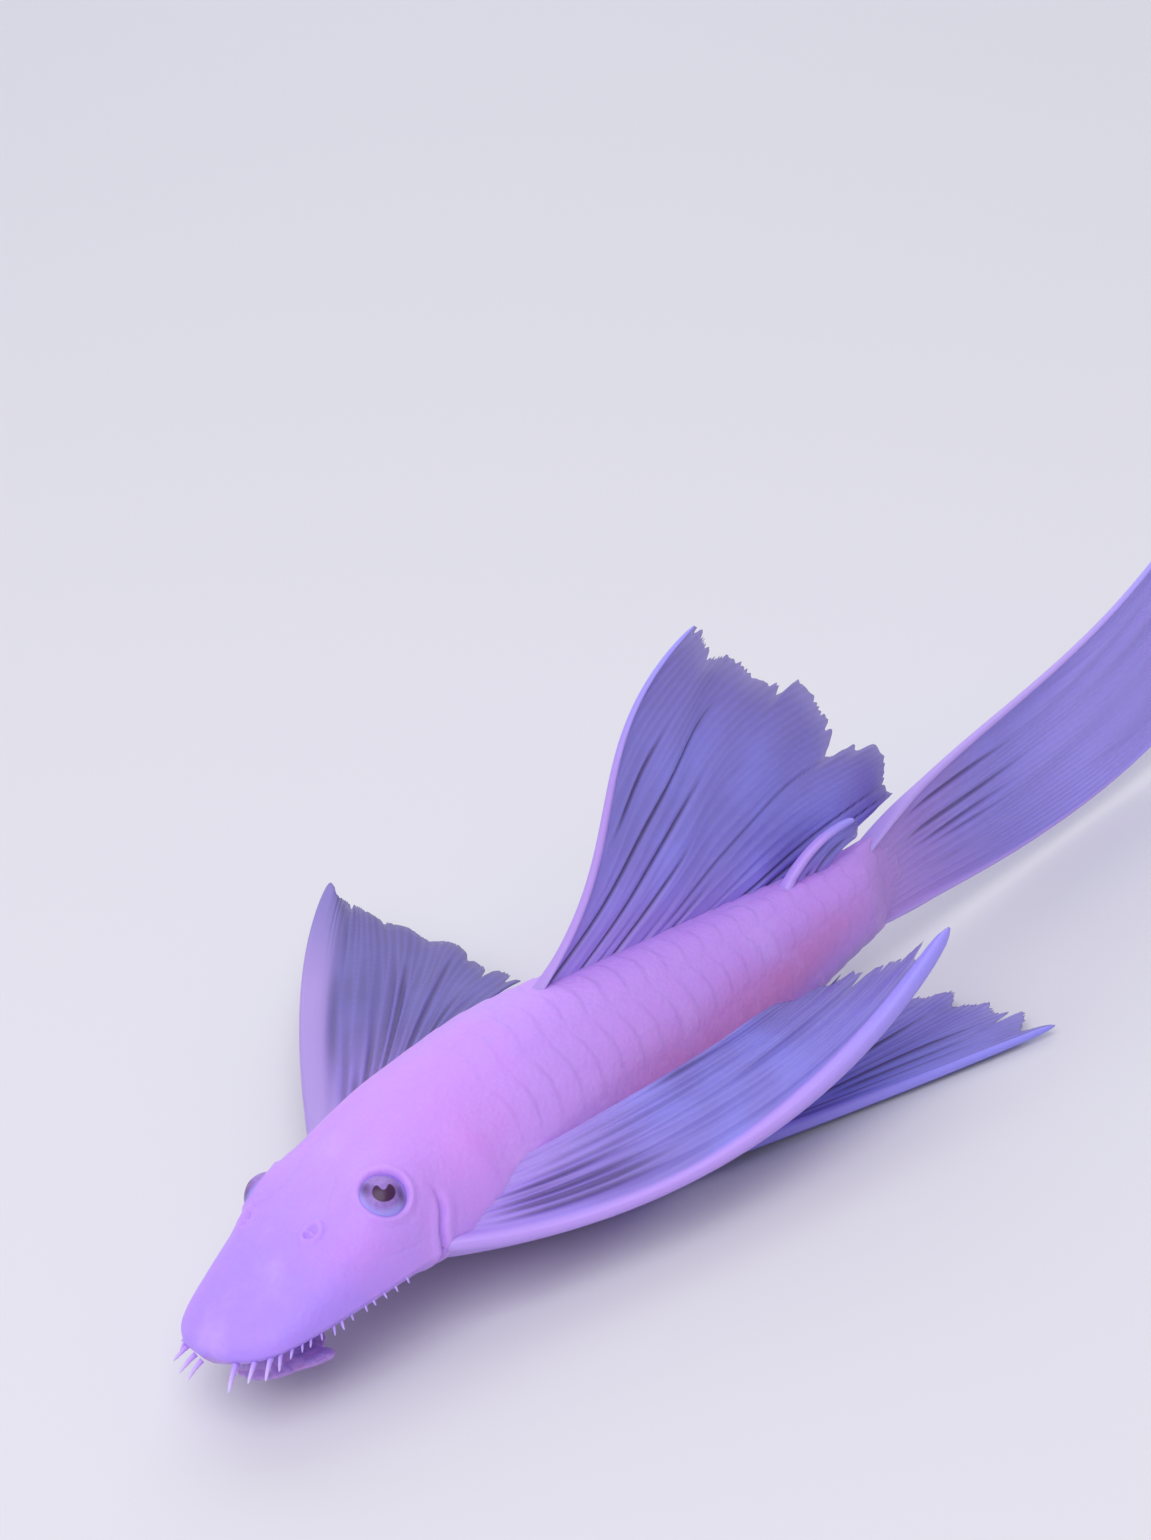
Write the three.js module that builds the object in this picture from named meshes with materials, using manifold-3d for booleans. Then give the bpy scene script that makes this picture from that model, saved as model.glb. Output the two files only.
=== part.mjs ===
// A life-size model of a pale, long-finned bristlenose catfish resting on its belly.
// Millimetres, +Z up, head towards -X, the animal's left side towards -Y.
import * as THREE from 'three';
import { mergeVertices } from 'three/addons/utils/BufferGeometryUtils.js';
import Module from 'manifold-3d';

const wasm = await Module();
wasm.setup();

// Driving dimensions
const SNOUT = 4; // station of the tip of the snout
const TAIL_ROOT = 80; // station of the root of the tail fin
const ORIGIN_FROM_SNOUT = 40; // the belly's resting place, along the body
const GAP = 0.3; // clearance between neighbouring parts
const ROOM = GAP + 0.15; // clearance over the scutes' raised edges
const HEAD_END = 29;
const TRUNK_END = 62;
const PLATE_PITCH = 2.2; // length of one column of scutes
const PLATE_RISE = 0.26; // how far a scute's rear edge stands up
const PLATE_POINT = 0.7; // how far its rear edge points back
const MEMBRANE = 0.5; // thickness of the fin membranes
const RAY_RISE = 0.26; // height of a fin ray over its membrane
const EYE_RADIUS = 2.15;
const EYE_STATION = 18.8;
const BRISTLE_COUNT = 21;
const SEED = 11;

// Half width, back, belly and widest level of the body at stations from the snout
const STATIONS = [
  { s: 4.0, half: 1.8, top: 7.4, low: 5.9, mid: 6.6, upper: 2.2, lower: 1.8 },
  { s: 4.7, half: 4.2, top: 8.2, low: 5.5, mid: 6.6, upper: 2.2, lower: 1.7 },
  { s: 6.2, half: 5.9, top: 9.1, low: 5.1, mid: 6.6, upper: 2.2, lower: 1.6 },
  { s: 9.5, half: 7.1, top: 10.6, low: 4.6, mid: 6.6, upper: 2.2, lower: 1.6 },
  { s: 14, half: 8.0, top: 12.4, low: 4.2, mid: 6.6, upper: 2.3, lower: 1.6 },
  { s: 19, half: 8.7, top: 14.2, low: 3.8, mid: 6.6, upper: 2.3, lower: 1.6 },
  { s: 25, half: 9.2, top: 15.7, low: 2.8, mid: 6.5, upper: 2.2, lower: 1.7 },
  { s: 31, half: 9.4, top: 16.7, low: 1.0, mid: 6.2, upper: 2.1, lower: 2.2 },
  { s: 37, half: 9.1, top: 17.5, low: -0.5, mid: 6.1, upper: 2.0, lower: 2.7 },
  { s: 46, half: 7.8, top: 16.8, low: -0.3, mid: 6.3, upper: 2.0, lower: 2.6 },
  { s: 56, half: 5.9, top: 15.3, low: 0.9, mid: 7.0, upper: 2.0, lower: 2.4 },
  { s: 66, half: 4.0, top: 13.6, low: 2.6, mid: 7.8, upper: 2.1, lower: 2.2 },
  { s: 74, half: 2.8, top: 12.6, low: 3.7, mid: 8.2, upper: 2.2, lower: 2.2 },
  { s: 81, half: 1.7, top: 12.7, low: 3.7, mid: 8.2, upper: 2.2, lower: 2.2 },
];
// Sideways heading and roll of the body, in degrees: the head turns towards -Y and leans on its right side
const POSE = [
  { s: 0, heading: 10, roll: -10 },
  { s: 22, heading: 7.5, roll: -9 },
  { s: 34, heading: -1, roll: -5 },
  { s: 44, heading: 0, roll: -3 },
  { s: 56, heading: 3, roll: -1.5 },
  { s: 81, heading: 3.5, roll: 0 },
];
const ROLL_LEVEL = 5;

const COLOURS = {
  skin: '#c9a6ee',
  flank: '#bd90cf',
  fin: '#9088d4',
  lip: '#b596dd',
  eye: '#5a3070',
};

// Numbers

function random(seed) {
  let state = seed;
  return () => {
    state = (state * 16807) % 2147483647;
    return state / 2147483647;
  };
}

function lerp(a, b, t) {
  return a + (b - a) * t;
}

function smooth(low, high, value) {
  const t = Math.min(Math.max((value - low) / (high - low), 0), 1);
  return t * t * (3 - 2 * t);
}

// A smooth value between rows of named numbers, with slopes from the neighbours
function between(rows, key, s) {
  let i = 0;
  while (i < rows.length - 2 && rows[i + 1].s < s) i += 1;
  const at = (k) => rows[Math.min(Math.max(k, 0), rows.length - 1)];
  const slope = (k) => (at(k + 1)[key] - at(k - 1)[key]) / (at(k + 1).s - at(k - 1).s);
  const span = at(i + 1).s - at(i).s;
  const t = (s - at(i).s) / span;
  const rise = t * t * (3 - 2 * t);
  const lead = t * (1 - t) * (1 - t) * span * slope(i);
  const trail = t * t * (t - 1) * span * slope(i + 1);
  return lerp(at(i)[key], at(i + 1)[key], rise) + lead + trail;
}

// The body's centre line seen from above, worked out in short steps from its heading
const STEP = 0.25;
const PIVOT = 38;

function tracePath() {
  const places = [];
  let x = 0;
  let y = 0;
  for (let s = 0; s <= TAIL_ROOT + 8; s += STEP) {
    places.push({ s, x, y });
    const heading = THREE.MathUtils.degToRad(between(POSE, 'heading', Math.min(s, 81)));
    x += STEP * Math.cos(heading);
    y += STEP * Math.sin(heading);
  }
  const pivot = places[Math.round(PIVOT / STEP)];
  return places.map((p) => ({ s: p.s, x: p.x - pivot.x + PIVOT, y: p.y - pivot.y }));
}

const PATH = tracePath();

// A point given by its station along the body, its distance to the right and its level
function place(s, y, z) {
  const i = Math.min(Math.max(Math.floor(s / STEP), 0), PATH.length - 2);
  const t = s / STEP - i;
  const turned = Math.min(Math.max(s, 0), 81);
  const heading = THREE.MathUtils.degToRad(between(POSE, 'heading', turned));
  const roll = THREE.MathUtils.degToRad(between(POSE, 'roll', turned));
  const side = y * Math.cos(roll) - (z - ROLL_LEVEL) * Math.sin(roll);
  const level = y * Math.sin(roll) + (z - ROLL_LEVEL) * Math.cos(roll) + ROLL_LEVEL;
  return new THREE.Vector3(
    lerp(PATH[i].x, PATH[i + 1].x, t) - side * Math.sin(heading),
    lerp(PATH[i].y, PATH[i + 1].y, t) + side * Math.cos(heading),
    level,
  );
}

// A point of the skin at a station and an angle round it: 0 is the right side, a quarter turn the back
function skin(s, angle, lift = 0, floor = 0) {
  const station = Math.min(Math.max(s, SNOUT), 81);
  const up = Math.sin(angle) >= 0;
  const half = between(STATIONS, 'half', station);
  const mid = between(STATIONS, 'mid', station);
  const tall = up ? between(STATIONS, 'top', station) - mid : mid - between(STATIONS, 'low', station);
  const power = between(STATIONS, up ? 'upper' : 'lower', station);
  const cos = Math.cos(angle);
  const sin = Math.sin(angle);
  const y = half * Math.sign(cos) * Math.abs(cos) ** (2 / power);
  const z = tall * Math.sign(sin) * Math.abs(sin) ** (2 / power);
  const ny = (Math.sign(y) * Math.abs(y / half) ** (power - 1)) / half;
  const nz = (Math.sign(z) * Math.abs(z / tall) ** (power - 1)) / tall;
  const length = Math.hypot(ny, nz);
  const point = place(s, y + (ny / length) * lift, mid + z + (nz / length) * lift);
  point.z = Math.max(point.z, floor);
  return point;
}

// Solids

function orient(geometry) {
  const p = geometry.getAttribute('position');
  const index = geometry.getIndex().array;
  const a = new THREE.Vector3();
  const b = new THREE.Vector3();
  const c = new THREE.Vector3();
  let volume = 0;
  for (let i = 0; i < index.length; i += 3) {
    a.fromBufferAttribute(p, index[i]);
    b.fromBufferAttribute(p, index[i + 1]);
    c.fromBufferAttribute(p, index[i + 2]);
    volume += a.dot(b.cross(c));
  }
  if (volume < 0) {
    for (let i = 0; i < index.length; i += 3) {
      [index[i], index[i + 1]] = [index[i + 1], index[i]];
    }
  }
  return geometry;
}

function meshOf(points, faces) {
  const geometry = new THREE.BufferGeometry();
  geometry.setAttribute('position', new THREE.Float32BufferAttribute(points.flatMap((p) => p.toArray()), 3));
  geometry.setIndex(faces);
  return orient(geometry);
}

function solid(geometry) {
  const bare = geometry.clone();
  bare.deleteAttribute('normal');
  bare.deleteAttribute('uv');
  const merged = mergeVertices(bare, 1e-4);
  return new wasm.Manifold(new wasm.Mesh({
    numProp: 3,
    vertProperties: new Float32Array(merged.getAttribute('position').array),
    triVerts: new Uint32Array(merged.getIndex().array),
  }));
}

// The largest closed body of a solid, as a geometry
function largest(shape) {
  const pieces = shape.decompose();
  pieces.sort((a, b) => b.volume() - a.volume());
  const mesh = pieces[0].getMesh();
  const geometry = new THREE.BufferGeometry();
  geometry.setAttribute('position', new THREE.Float32BufferAttribute(mesh.vertProperties, 3));
  geometry.setIndex(Array.from(mesh.triVerts));
  return geometry;
}

// A closed loft through rings of equally many points, capped at both ends
function loft(rings) {
  const count = rings[0].length;
  const points = rings.flat();
  const faces = [];
  for (let i = 0; i < rings.length - 1; i += 1) {
    for (let j = 0; j < count; j += 1) {
      const k = (j + 1) % count;
      const a = i * count + j;
      const b = i * count + k;
      faces.push(a, b, a + count, b, b + count, a + count);
    }
  }
  [rings[0], rings[rings.length - 1]].forEach((ring, end) => {
    const centre = ring.reduce((sum, p) => sum.add(p), new THREE.Vector3()).divideScalar(count);
    const first = end * (rings.length - 1) * count;
    points.push(centre);
    for (let j = 0; j < count; j += 1) {
      const k = (j + 1) % count;
      faces.push(...(end ? [first + j, first + k, points.length - 1] : [first + k, first + j, points.length - 1]));
    }
  });
  return meshOf(points, faces);
}

// A tapering round spike along a curve, sunk at its start
function spike(curve, radius, steps, sides) {
  const frames = curve.computeFrenetFrames(steps, false);
  const rings = [];
  for (let i = 0; i <= steps; i += 1) {
    const t = i / steps;
    const centre = curve.getPointAt(t);
    const ring = [];
    for (let j = 0; j < sides; j += 1) {
      const angle = (j / sides) * Math.PI * 2;
      const out = frames.normals[i].clone().multiplyScalar(Math.cos(angle) * radius(t));
      out.addScaledVector(frames.binormals[i], Math.sin(angle) * radius(t));
      out.add(centre);
      out.z = Math.max(out.z, 0);
      ring.push(out);
    }
    rings.push(ring);
  }
  return solid(loft(rings));
}

// Body: scutes in five rows on each side, in columns whose rear edges stand up and point back

const ROW_EDGES = [-78, -44, -12, 22, 56, 90];
const ROW_STEPS = 3;
const BELLY_STEPS = 3;

// The angles round a section, each with its place across its row of scutes (0 at the seams)
function sectionAngles() {
  const right = [];
  for (let row = 0; row < ROW_EDGES.length - 1; row += 1) {
    for (let k = 0; k < ROW_STEPS; k += 1) {
      const t = k / ROW_STEPS;
      right.push({ angle: lerp(ROW_EDGES[row], ROW_EDGES[row + 1], t), crown: Math.sin(Math.PI * t) });
    }
  }
  const left = right.slice(1).map((a) => ({ angle: 180 - a.angle, crown: a.crown })).reverse();
  const belly = [];
  for (let k = 0; k < BELLY_STEPS; k += 1) {
    belly.push({ angle: lerp(258, 282, k / BELLY_STEPS), crown: 0 });
  }
  return [...right, { angle: 90, crown: 0 }, ...left, ...belly].map((a) => ({
    angle: THREE.MathUtils.degToRad(a.angle),
    crown: a.crown,
  }));
}

const ANGLES = sectionAngles();

// Rings of the scuted body between two cuts, raised by a clearance where it trims a neighbour
function scutedRings(start, end, lift) {
  const rings = [];
  const ring = (s, rise, point) => {
    const fade = Math.min(1, (s - start) / PLATE_PITCH, (end - s) / PLATE_PITCH);
    return ANGLES.map(({ angle, crown }) => {
      const bare = angle > Math.PI ? smooth(30, 56, s) : 1;
      const height = rise * Math.min(1, crown * 1.6) * bare;
      return skin(s + point * crown * fade, angle, lift + height, -lift);
    });
  };
  rings.push(ring(start, 0, 0));
  const columns = Math.round((end - start) / PLATE_PITCH);
  const pitch = (end - start) / columns;
  for (let k = 1; k < columns; k += 1) {
    const s = start + k * pitch;
    rings.push(ring(s, PLATE_RISE, PLATE_POINT));
    rings.push(ring(s + pitch * 0.16, 0, PLATE_POINT));
  }
  rings.push(ring(end, PLATE_RISE, 0));
  return rings;
}

// Head rings are closer at the blunt snout
function headRings(end, lift) {
  const rings = [];
  const count = 17;
  for (let i = 0; i <= count; i += 1) {
    const s = lerp(SNOUT, end, (i / count) ** 1.35);
    rings.push(ANGLES.map(({ angle }) => skin(s, angle, lift, -lift)));
  }
  return rings;
}

const headBody = solid(loft(headRings(HEAD_END, 0)));
const trunkBody = solid(loft(scutedRings(HEAD_END + GAP, TRUNK_END, 0)));
const tailBody = solid(loft(scutedRings(TRUNK_END + GAP, TAIL_ROOT, 0)));

// The whole body grown by the clearance, which trims whatever grows from it
const headRoom = solid(loft(headRings(HEAD_END + GAP, GAP)));
const trunkRoom = solid(loft(scutedRings(HEAD_END, TRUNK_END + GAP, ROOM)));
const tailRoom = solid(loft(scutedRings(TRUNK_END, TAIL_ROOT + GAP, ROOM)));
const bodyRoom = headRoom.add(trunkRoom).add(tailRoom);

// Head

const EYE_ANGLE = THREE.MathUtils.degToRad(46);
const EYE_DEPTH = 0.95; // centre of the eyeball under the skin
const SIDES = [
  { name: 'left', eye: EYE_STATION, mirror: (angle) => Math.PI - angle },
  { name: 'right', eye: EYE_STATION - 1.6, mirror: (angle) => angle },
];

function eyeCentre(side) {
  return skin(side.eye, side.mirror(EYE_ANGLE), -EYE_DEPTH);
}

function eyeOutward(side) {
  const angle = side.mirror(EYE_ANGLE);
  return skin(side.eye, angle, 1).sub(skin(side.eye, angle, 0)).normalize();
}

function ball(centre, radius, wide, high) {
  const geometry = new THREE.SphereGeometry(radius, wide, high);
  geometry.translate(centre.x, centre.y, centre.z);
  return geometry;
}

function ringAt(centre, outward, radius, tube) {
  const geometry = new THREE.TorusGeometry(radius, tube, 5, 12);
  geometry.applyQuaternion(new THREE.Quaternion().setFromUnitVectors(new THREE.Vector3(0, 0, 1), outward));
  geometry.translate(centre.x, centre.y, centre.z);
  return solid(geometry);
}

const NOSTRIL_STATION = 13.4;
const NOSTRIL_ANGLE = THREE.MathUtils.degToRad(64);

// Each nostril is a raised rim round a pit, with a flap of skin across it
function nostril(side) {
  const angle = side.mirror(NOSTRIL_ANGLE);
  const at = skin(NOSTRIL_STATION, angle, 0);
  const outward = skin(NOSTRIL_STATION, angle, 1).sub(at).normalize();
  const rim = ringAt(at, outward, 0.65, 0.3);
  const pit = solid(ball(at.clone().addScaledVector(outward, 0.1), 0.56, 8, 5));
  const flap = new THREE.CapsuleGeometry(0.18, 0.8, 2, 5);
  flap.translate(at.x, at.y, at.z);
  return { rim, pit, flap: solid(flap) };
}

// A shallow groove along the skin through stations and angles
function groove(side, marks, radius) {
  const points = marks.map(([s, angle]) => skin(s, side.mirror(THREE.MathUtils.degToRad(angle)), 0.1));
  const curve = new THREE.CatmullRomCurve3(points);
  return spike(curve, (t) => radius * Math.sin(Math.PI * lerp(0.08, 0.92, t)), 7, 5);
}

// Fleshy bristles stand in a row on the snout's margin, longest at its front
function bristles() {
  const draw = random(SEED);
  const shapes = [];
  for (let i = 0; i < BRISTLE_COUNT; i += 1) {
    const t = (i / (BRISTLE_COUNT - 1)) * 2 - 1;
    const reach = SNOUT + Math.abs(t) ** 1.25 * 13;
    const angle = t < 0 ? Math.PI + 0.12 : -0.12;
    const length = lerp(1.9, 0.6, Math.abs(t) ** 0.7) * lerp(0.75, 1.2, draw());
    const root = skin(reach, angle, -0.8);
    const across = skin(reach, angle, 1).sub(skin(reach, angle, 0));
    const ahead = place(SNOUT, 0, 6).sub(place(SNOUT + 4, 0, 6)).normalize();
    const outward = across.multiplyScalar(0.35 + Math.abs(t)).addScaledVector(ahead, 1.25 - Math.abs(t));
    outward.z += lerp(-0.3, 0.1, draw()) - 0.45 * (1 - Math.abs(t));
    outward.normalize();
    const tip = root.clone().addScaledVector(outward, 0.8 + length);
    const bend = root.clone().lerp(tip, 0.5);
    bend.z += 0.2;
    shapes.push(spike(new THREE.QuadraticBezierCurve3(root, bend, tip), (u) => lerp(0.34, 0.15, u), 1, 5));
  }
  return shapes;
}

// Stations and angles of the gill cover's rear edge
const GILL_EDGE = [[22.4, 32], [22, 18], [21.1, 8], [20.6, -10], [20.2, -34], [19.2, -58]];
const GILL_RADIUS = 0.4;

function makeHead() {
  let head = headBody;
  for (const side of SIDES) {
    const outward = eyeOutward(side);
    const rim = eyeCentre(side).addScaledVector(outward, 0.75);
    head = head.add(ringAt(rim, outward, EYE_RADIUS + 0.15, 0.5));
    const nose = nostril(side);
    head = head.add(nose.rim).subtract(nose.pit).add(nose.flap);
    head = head.subtract(groove(side, GILL_EDGE, GILL_RADIUS));
  }
  for (const bristle of bristles()) {
    head = head.add(bristle);
  }
  for (const side of SIDES) {
    head = head.subtract(solid(ball(eyeCentre(side), EYE_RADIUS + GAP, 14, 10)));
  }
  return head;
}

// The mouth is a sucking disc under the head with a thin spreading rim and a barbel at each corner

const MOUTH_STATION = 9.2;
const BARBEL = 1.5; // how far the corner barbels reach past the rim
const MOUTH_RINGS = [
  { reach: 2.2, level: 6.0 },
  { reach: 2.4, level: 4.9 },
  { reach: 2.9, level: 4.0 },
  { reach: 3.4, level: 3.5 },
  { reach: 3.7, level: 3.2 },
  { reach: 3.4, level: 2.9 },
  { reach: 2.6, level: 2.8 },
  { reach: 1.7, level: 3.0 },
  { reach: 1.0, level: 3.6 },
];

function makeMouth() {
  const sides = 24;
  const rings = MOUTH_RINGS.map(({ reach, level }) => {
    const ring = [];
    for (let j = 0; j < sides; j += 1) {
      const angle = (j / sides) * Math.PI * 2;
      const corner = Math.exp(-(((Math.abs(Math.sin(angle)) - 1) / 0.05) ** 2));
      const spread = reach > 3.3 ? corner * BARBEL : 0;
      const rear = Math.cos(angle) > 0 ? 1.02 : 0.86;
      const s = MOUTH_STATION + reach * rear * Math.cos(angle) + spread * 0.7;
      const point = place(s, (reach + spread) * Math.sin(angle), level);
      point.z = Math.max(point.z, 0);
      ring.push(point);
    }
    return ring;
  });
  const disc = solid(loft(rings));
  return disc.subtract(headRoom);
}

// Fins: rays fan out from a root curve through a middle curve to a tip curve

function through(points) {
  return new THREE.CatmullRomCurve3(points.map((p) => new THREE.Vector3(...p)), false, 'centripetal');
}

// A point of the fin: u counts across the rays, v along each, smoothly through all its guide curves
function finPoint(fin, u, v) {
  const last = fin.guides.length - 1;
  const point = new THREE.Vector3();
  fin.guides.forEach((guide, k) => {
    let weight = 1;
    for (let m = 0; m <= last; m += 1) {
      if (m !== k) weight *= (v * last - m) / (k - m);
    }
    point.addScaledVector(guide.getPoint(u), weight);
  });
  return point;
}

function finNormal(fin, u, v) {
  const e = 0.02;
  const across = finPoint(fin, Math.min(u + e, 1), v).sub(finPoint(fin, Math.max(u - e, 0), v));
  const along = finPoint(fin, u, v + e).sub(finPoint(fin, u, v - e));
  return across.cross(along).normalize();
}

// Each ray is a ridge that forks into two at its middle, so four columns of points serve one ray
const RAY_COLUMNS = [
  { before: 0, after: 0 },
  { before: 0.45, after: 1 },
  { before: 1, after: 0.15 },
  { before: 0.45, after: 1 },
];

// A closed sheet with ridged rays, its margin a little ragged and its faces split alike
function finSheet(fin) {
  const columns = fin.rays * RAY_COLUMNS.length;
  const rows = fin.rows;
  const upper = [];
  const lower = [];
  for (let i = 0; i <= rows; i += 1) {
    for (let j = 0; j <= columns; j += 1) {
      const u = j / columns;
      const ray = RAY_COLUMNS[j % RAY_COLUMNS.length];
      const forked = smooth(0.3, 0.5, i / rows);
      const ridge = lerp(ray.before, ray.after, forked);
      const v = (i / rows) * (1 - fin.ragged * (1 - ridge) * smooth(0.5, 1, i / rows));
      const point = finPoint(fin, u, v);
      const normal = finNormal(fin, u, v);
      const flesh = fin.fleshy * (1 - smooth(0, 0.25, v));
      const half = MEMBRANE / 2 + RAY_RISE * ridge * (1 - 0.55 * v) + flesh;
      const top = point.clone().addScaledVector(normal, half);
      const bottom = point.clone().addScaledVector(normal, -half);
      top.z = Math.max(top.z, 0);
      bottom.z = Math.max(bottom.z, 0);
      upper.push(top);
      lower.push(bottom);
    }
  }
  const points = [...upper, ...lower];
  const faces = [];
  const at = (i, j) => i * (columns + 1) + j;
  const other = upper.length;
  for (let i = 0; i < rows; i += 1) {
    for (let j = 0; j < columns; j += 1) {
      const [a, b, c, d] = [at(i, j), at(i, j + 1), at(i + 1, j + 1), at(i + 1, j)];
      faces.push(a, b, c, a, c, d);
      faces.push(other + a, other + c, other + b, other + a, other + d, other + c);
    }
  }
  const margin = [];
  for (let j = 0; j < columns; j += 1) margin.push(at(0, j));
  for (let i = 0; i < rows; i += 1) margin.push(at(i, columns));
  for (let j = columns; j > 0; j -= 1) margin.push(at(rows, j));
  for (let i = rows; i > 0; i -= 1) margin.push(at(i, 0));
  margin.forEach((a, k) => {
    const b = margin[(k + 1) % margin.length];
    faces.push(b, a, other + a, b, other + a, other + b);
  });
  return solid(meshOf(points, faces));
}

// The strong first ray stands along one edge of a fin
function finSpine(fin, u, thick, thin) {
  const points = [];
  for (let i = 0; i <= 6; i += 1) points.push(finPoint(fin, u, i / 6));
  const curve = new THREE.CatmullRomCurve3(points);
  return spike(curve, (t) => lerp(thick, thin, t ** 0.8), 9, 6);
}

function makeFin(fin) {
  let shape = finSheet(fin);
  for (const spine of fin.spines) {
    shape = shape.add(finSpine(fin, spine.u, spine.thick, spine.thin));
  }
  return shape.subtract(bodyRoom);
}

// Along the body's own line, so that the fin's root follows it
function onBody(list) {
  return list.map(([s, y, z]) => place(s, y, z).toArray());
}

const FINS = {
  dorsal_fin: {
    guides: [
      through(onBody([[35.6, 0, 14.5], [47, 0, 14.2], [56.5, 0, 12.8]])),
      through([[48.0, 0.6, 22.9], [57.4, 1.5, 18.4], [67.0, 3.0, 12.6]]),
      through([[54.0, 1.4, 31.8], [64.4, 2.6, 25.0], [77.4, 4.8, 13.0]]),
      through([[64.4, 2.2, 38.6], [68.6, 2.8, 34.6], [78.0, 4.2, 25.2], [87.2, 6.0, 14.2]]),
    ],
    rays: 8,
    rows: 7,
    ragged: 0.045,
    fleshy: 0.5,
    spines: [{ u: 0, thick: 0.85, thin: 0.35 }],
  },
  caudal_fin: {
    guides: [
      through(onBody([[79.2, 0, 12.2], [79.2, 0, 8.2], [79.2, 0, 4.2]])),
      through([[104, 3.4, 14.8], [100, 3.6, 10.0], [103, 3.4, 2.8]]),
      through([[133, 6.0, 26.5], [127, 5.4, 19.5], [123, 5.0, 13], [129, 5.2, 7.0]]),
    ],
    rays: 9,
    rows: 7,
    ragged: 0.03,
    fleshy: 1.0,
    spines: [{ u: 0, thick: 0.75, thin: 0.3 }, { u: 1, thick: 0.75, thin: 0.3 }],
  },
  anal_fin: {
    guides: [
      through(onBody([[54, 0, 3.4], [58.5, 0, 4.2]])),
      through([[62, 0.6, 0.9], [65.5, 0.8, 1.6]]),
      through([[69.5, 0.8, 0.7], [72.0, 1.0, 2.2]]),
    ],
    rays: 4,
    rows: 5,
    ragged: 0.04,
    fleshy: 0.3,
    spines: [{ u: 0, thick: 0.5, thin: 0.28 }],
  },
  pectoral_fin_left: {
    guides: [
      through([[22.8, -8.4, 7.4], [25.2, -7.4, 8.8], [28.0, -7.2, 10.0]]),
      through([[46.4, -16.0, 6.4], [45.4, -12.4, 9.0], [45.0, -9.8, 11.2]]),
      through([[71.2, -14.6, 12.2], [70.0, -10.6, 9.4], [66.5, -7.4, 8.4], [58, -7.4, 9.4]]),
    ],
    rays: 6,
    rows: 7,
    ragged: 0.04,
    fleshy: 0.4,
    spines: [{ u: 0, thick: 1.0, thin: 0.5 }],
  },
  pectoral_fin_right: {
    guides: [
      through(onBody([[22.6, 7.6, 6.6], [25.0, 7.4, 7.2], [27.6, 7.2, 7.8]])),
      through([[37.0, 31.8, 6.6], [42.5, 25.5, 5.8], [41.5, 17.0, 6.4]]),
      through([[51.4, 48.0, 7.2], [50.5, 40.5, 6.6], [53.0, 31.5, 5.2], [52.5, 21.0, 5.0]]),
    ],
    rays: 6,
    rows: 7,
    ragged: 0.04,
    fleshy: 0.4,
    spines: [{ u: 0, thick: 1.0, thin: 0.55 }],
  },
  pelvic_fin_left: {
    guides: [
      through(onBody([[37.2, -5.6, 1.5], [38.6, -4.6, 1.3], [40, -3.4, 1.2]])),
      through([[57.4, -12.4, 1.1], [57.8, -8.6, 0.7], [55, -5.2, 0.4]]),
      through([[77.4, -18.6, 0.9], [76.8, -12.4, 1.6], [75, -6.5, 1.2], [66, -3.6, 0.5]]),
    ],
    rays: 5,
    rows: 7,
    ragged: 0.04,
    fleshy: 0.3,
    spines: [{ u: 0, thick: 0.9, thin: 0.4 }],
  },
  pelvic_fin_right: {
    guides: [
      through(onBody([[37.2, 5.6, 1.0], [38.6, 4.6, 1.1], [40, 3.4, 1.1]])),
      through([[56.0, 14.0, 0.8], [57.0, 9.5, 0.6], [55.5, 5.2, 0.4]]),
      through([[73.0, 23.5, 0.8], [74.0, 16.5, 0.9], [72.5, 9.5, 0.8], [66, 4.6, 0.5]]),
    ],
    rays: 5,
    rows: 7,
    ragged: 0.04,
    fleshy: 0.3,
    spines: [{ u: 0, thick: 0.9, thin: 0.4 }],
  },
};

// The small adipose fin is a hooked spine that carries a little sail behind it
const ADIPOSE = {
  guides: [
    through(onBody([[66.6, -0.2, 12.4], [68.8, -0.2, 12.0], [71.5, -0.2, 11.6]])),
    through([[70.8, 0.4, 15.4], [72.0, 0.4, 14.5], [73.2, 0.6, 13.4]]),
    through([[75.6, 0.2, 16.0], [76.0, 0.3, 15.1], [75.9, 0.6, 13.9]]),
  ],
  rays: 1,
  rows: 5,
  ragged: 0,
  fleshy: 0.2,
  spines: [{ u: 0, thick: 0.65, thin: 0.4 }],
};

// The scene graph

const fish = new THREE.Group();
fish.position.x = -ORIGIN_FROM_SNOUT;

function addMesh(name, shape, colour, roughness) {
  const geometry = shape instanceof THREE.BufferGeometry ? shape : largest(shape);
  geometry.computeVertexNormals();
  const material = new THREE.MeshStandardMaterial({ color: colour, roughness, metalness: 0 });
  const mesh = new THREE.Mesh(geometry, material);
  mesh.name = name;
  fish.add(mesh);
  return mesh;
}

addMesh('head', makeHead(), COLOURS.skin, 0.45);
addMesh('mouth', makeMouth(), COLOURS.lip, 0.4);
addMesh('trunk', trunkBody, COLOURS.skin, 0.45);
addMesh('tail_stem', tailBody, COLOURS.flank, 0.45);
for (const side of SIDES) {
  const eye = addMesh(`eye_${side.name}`, new THREE.SphereGeometry(EYE_RADIUS, 14, 10), COLOURS.eye, 0.1);
  eye.position.copy(eyeCentre(side));
}

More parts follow.
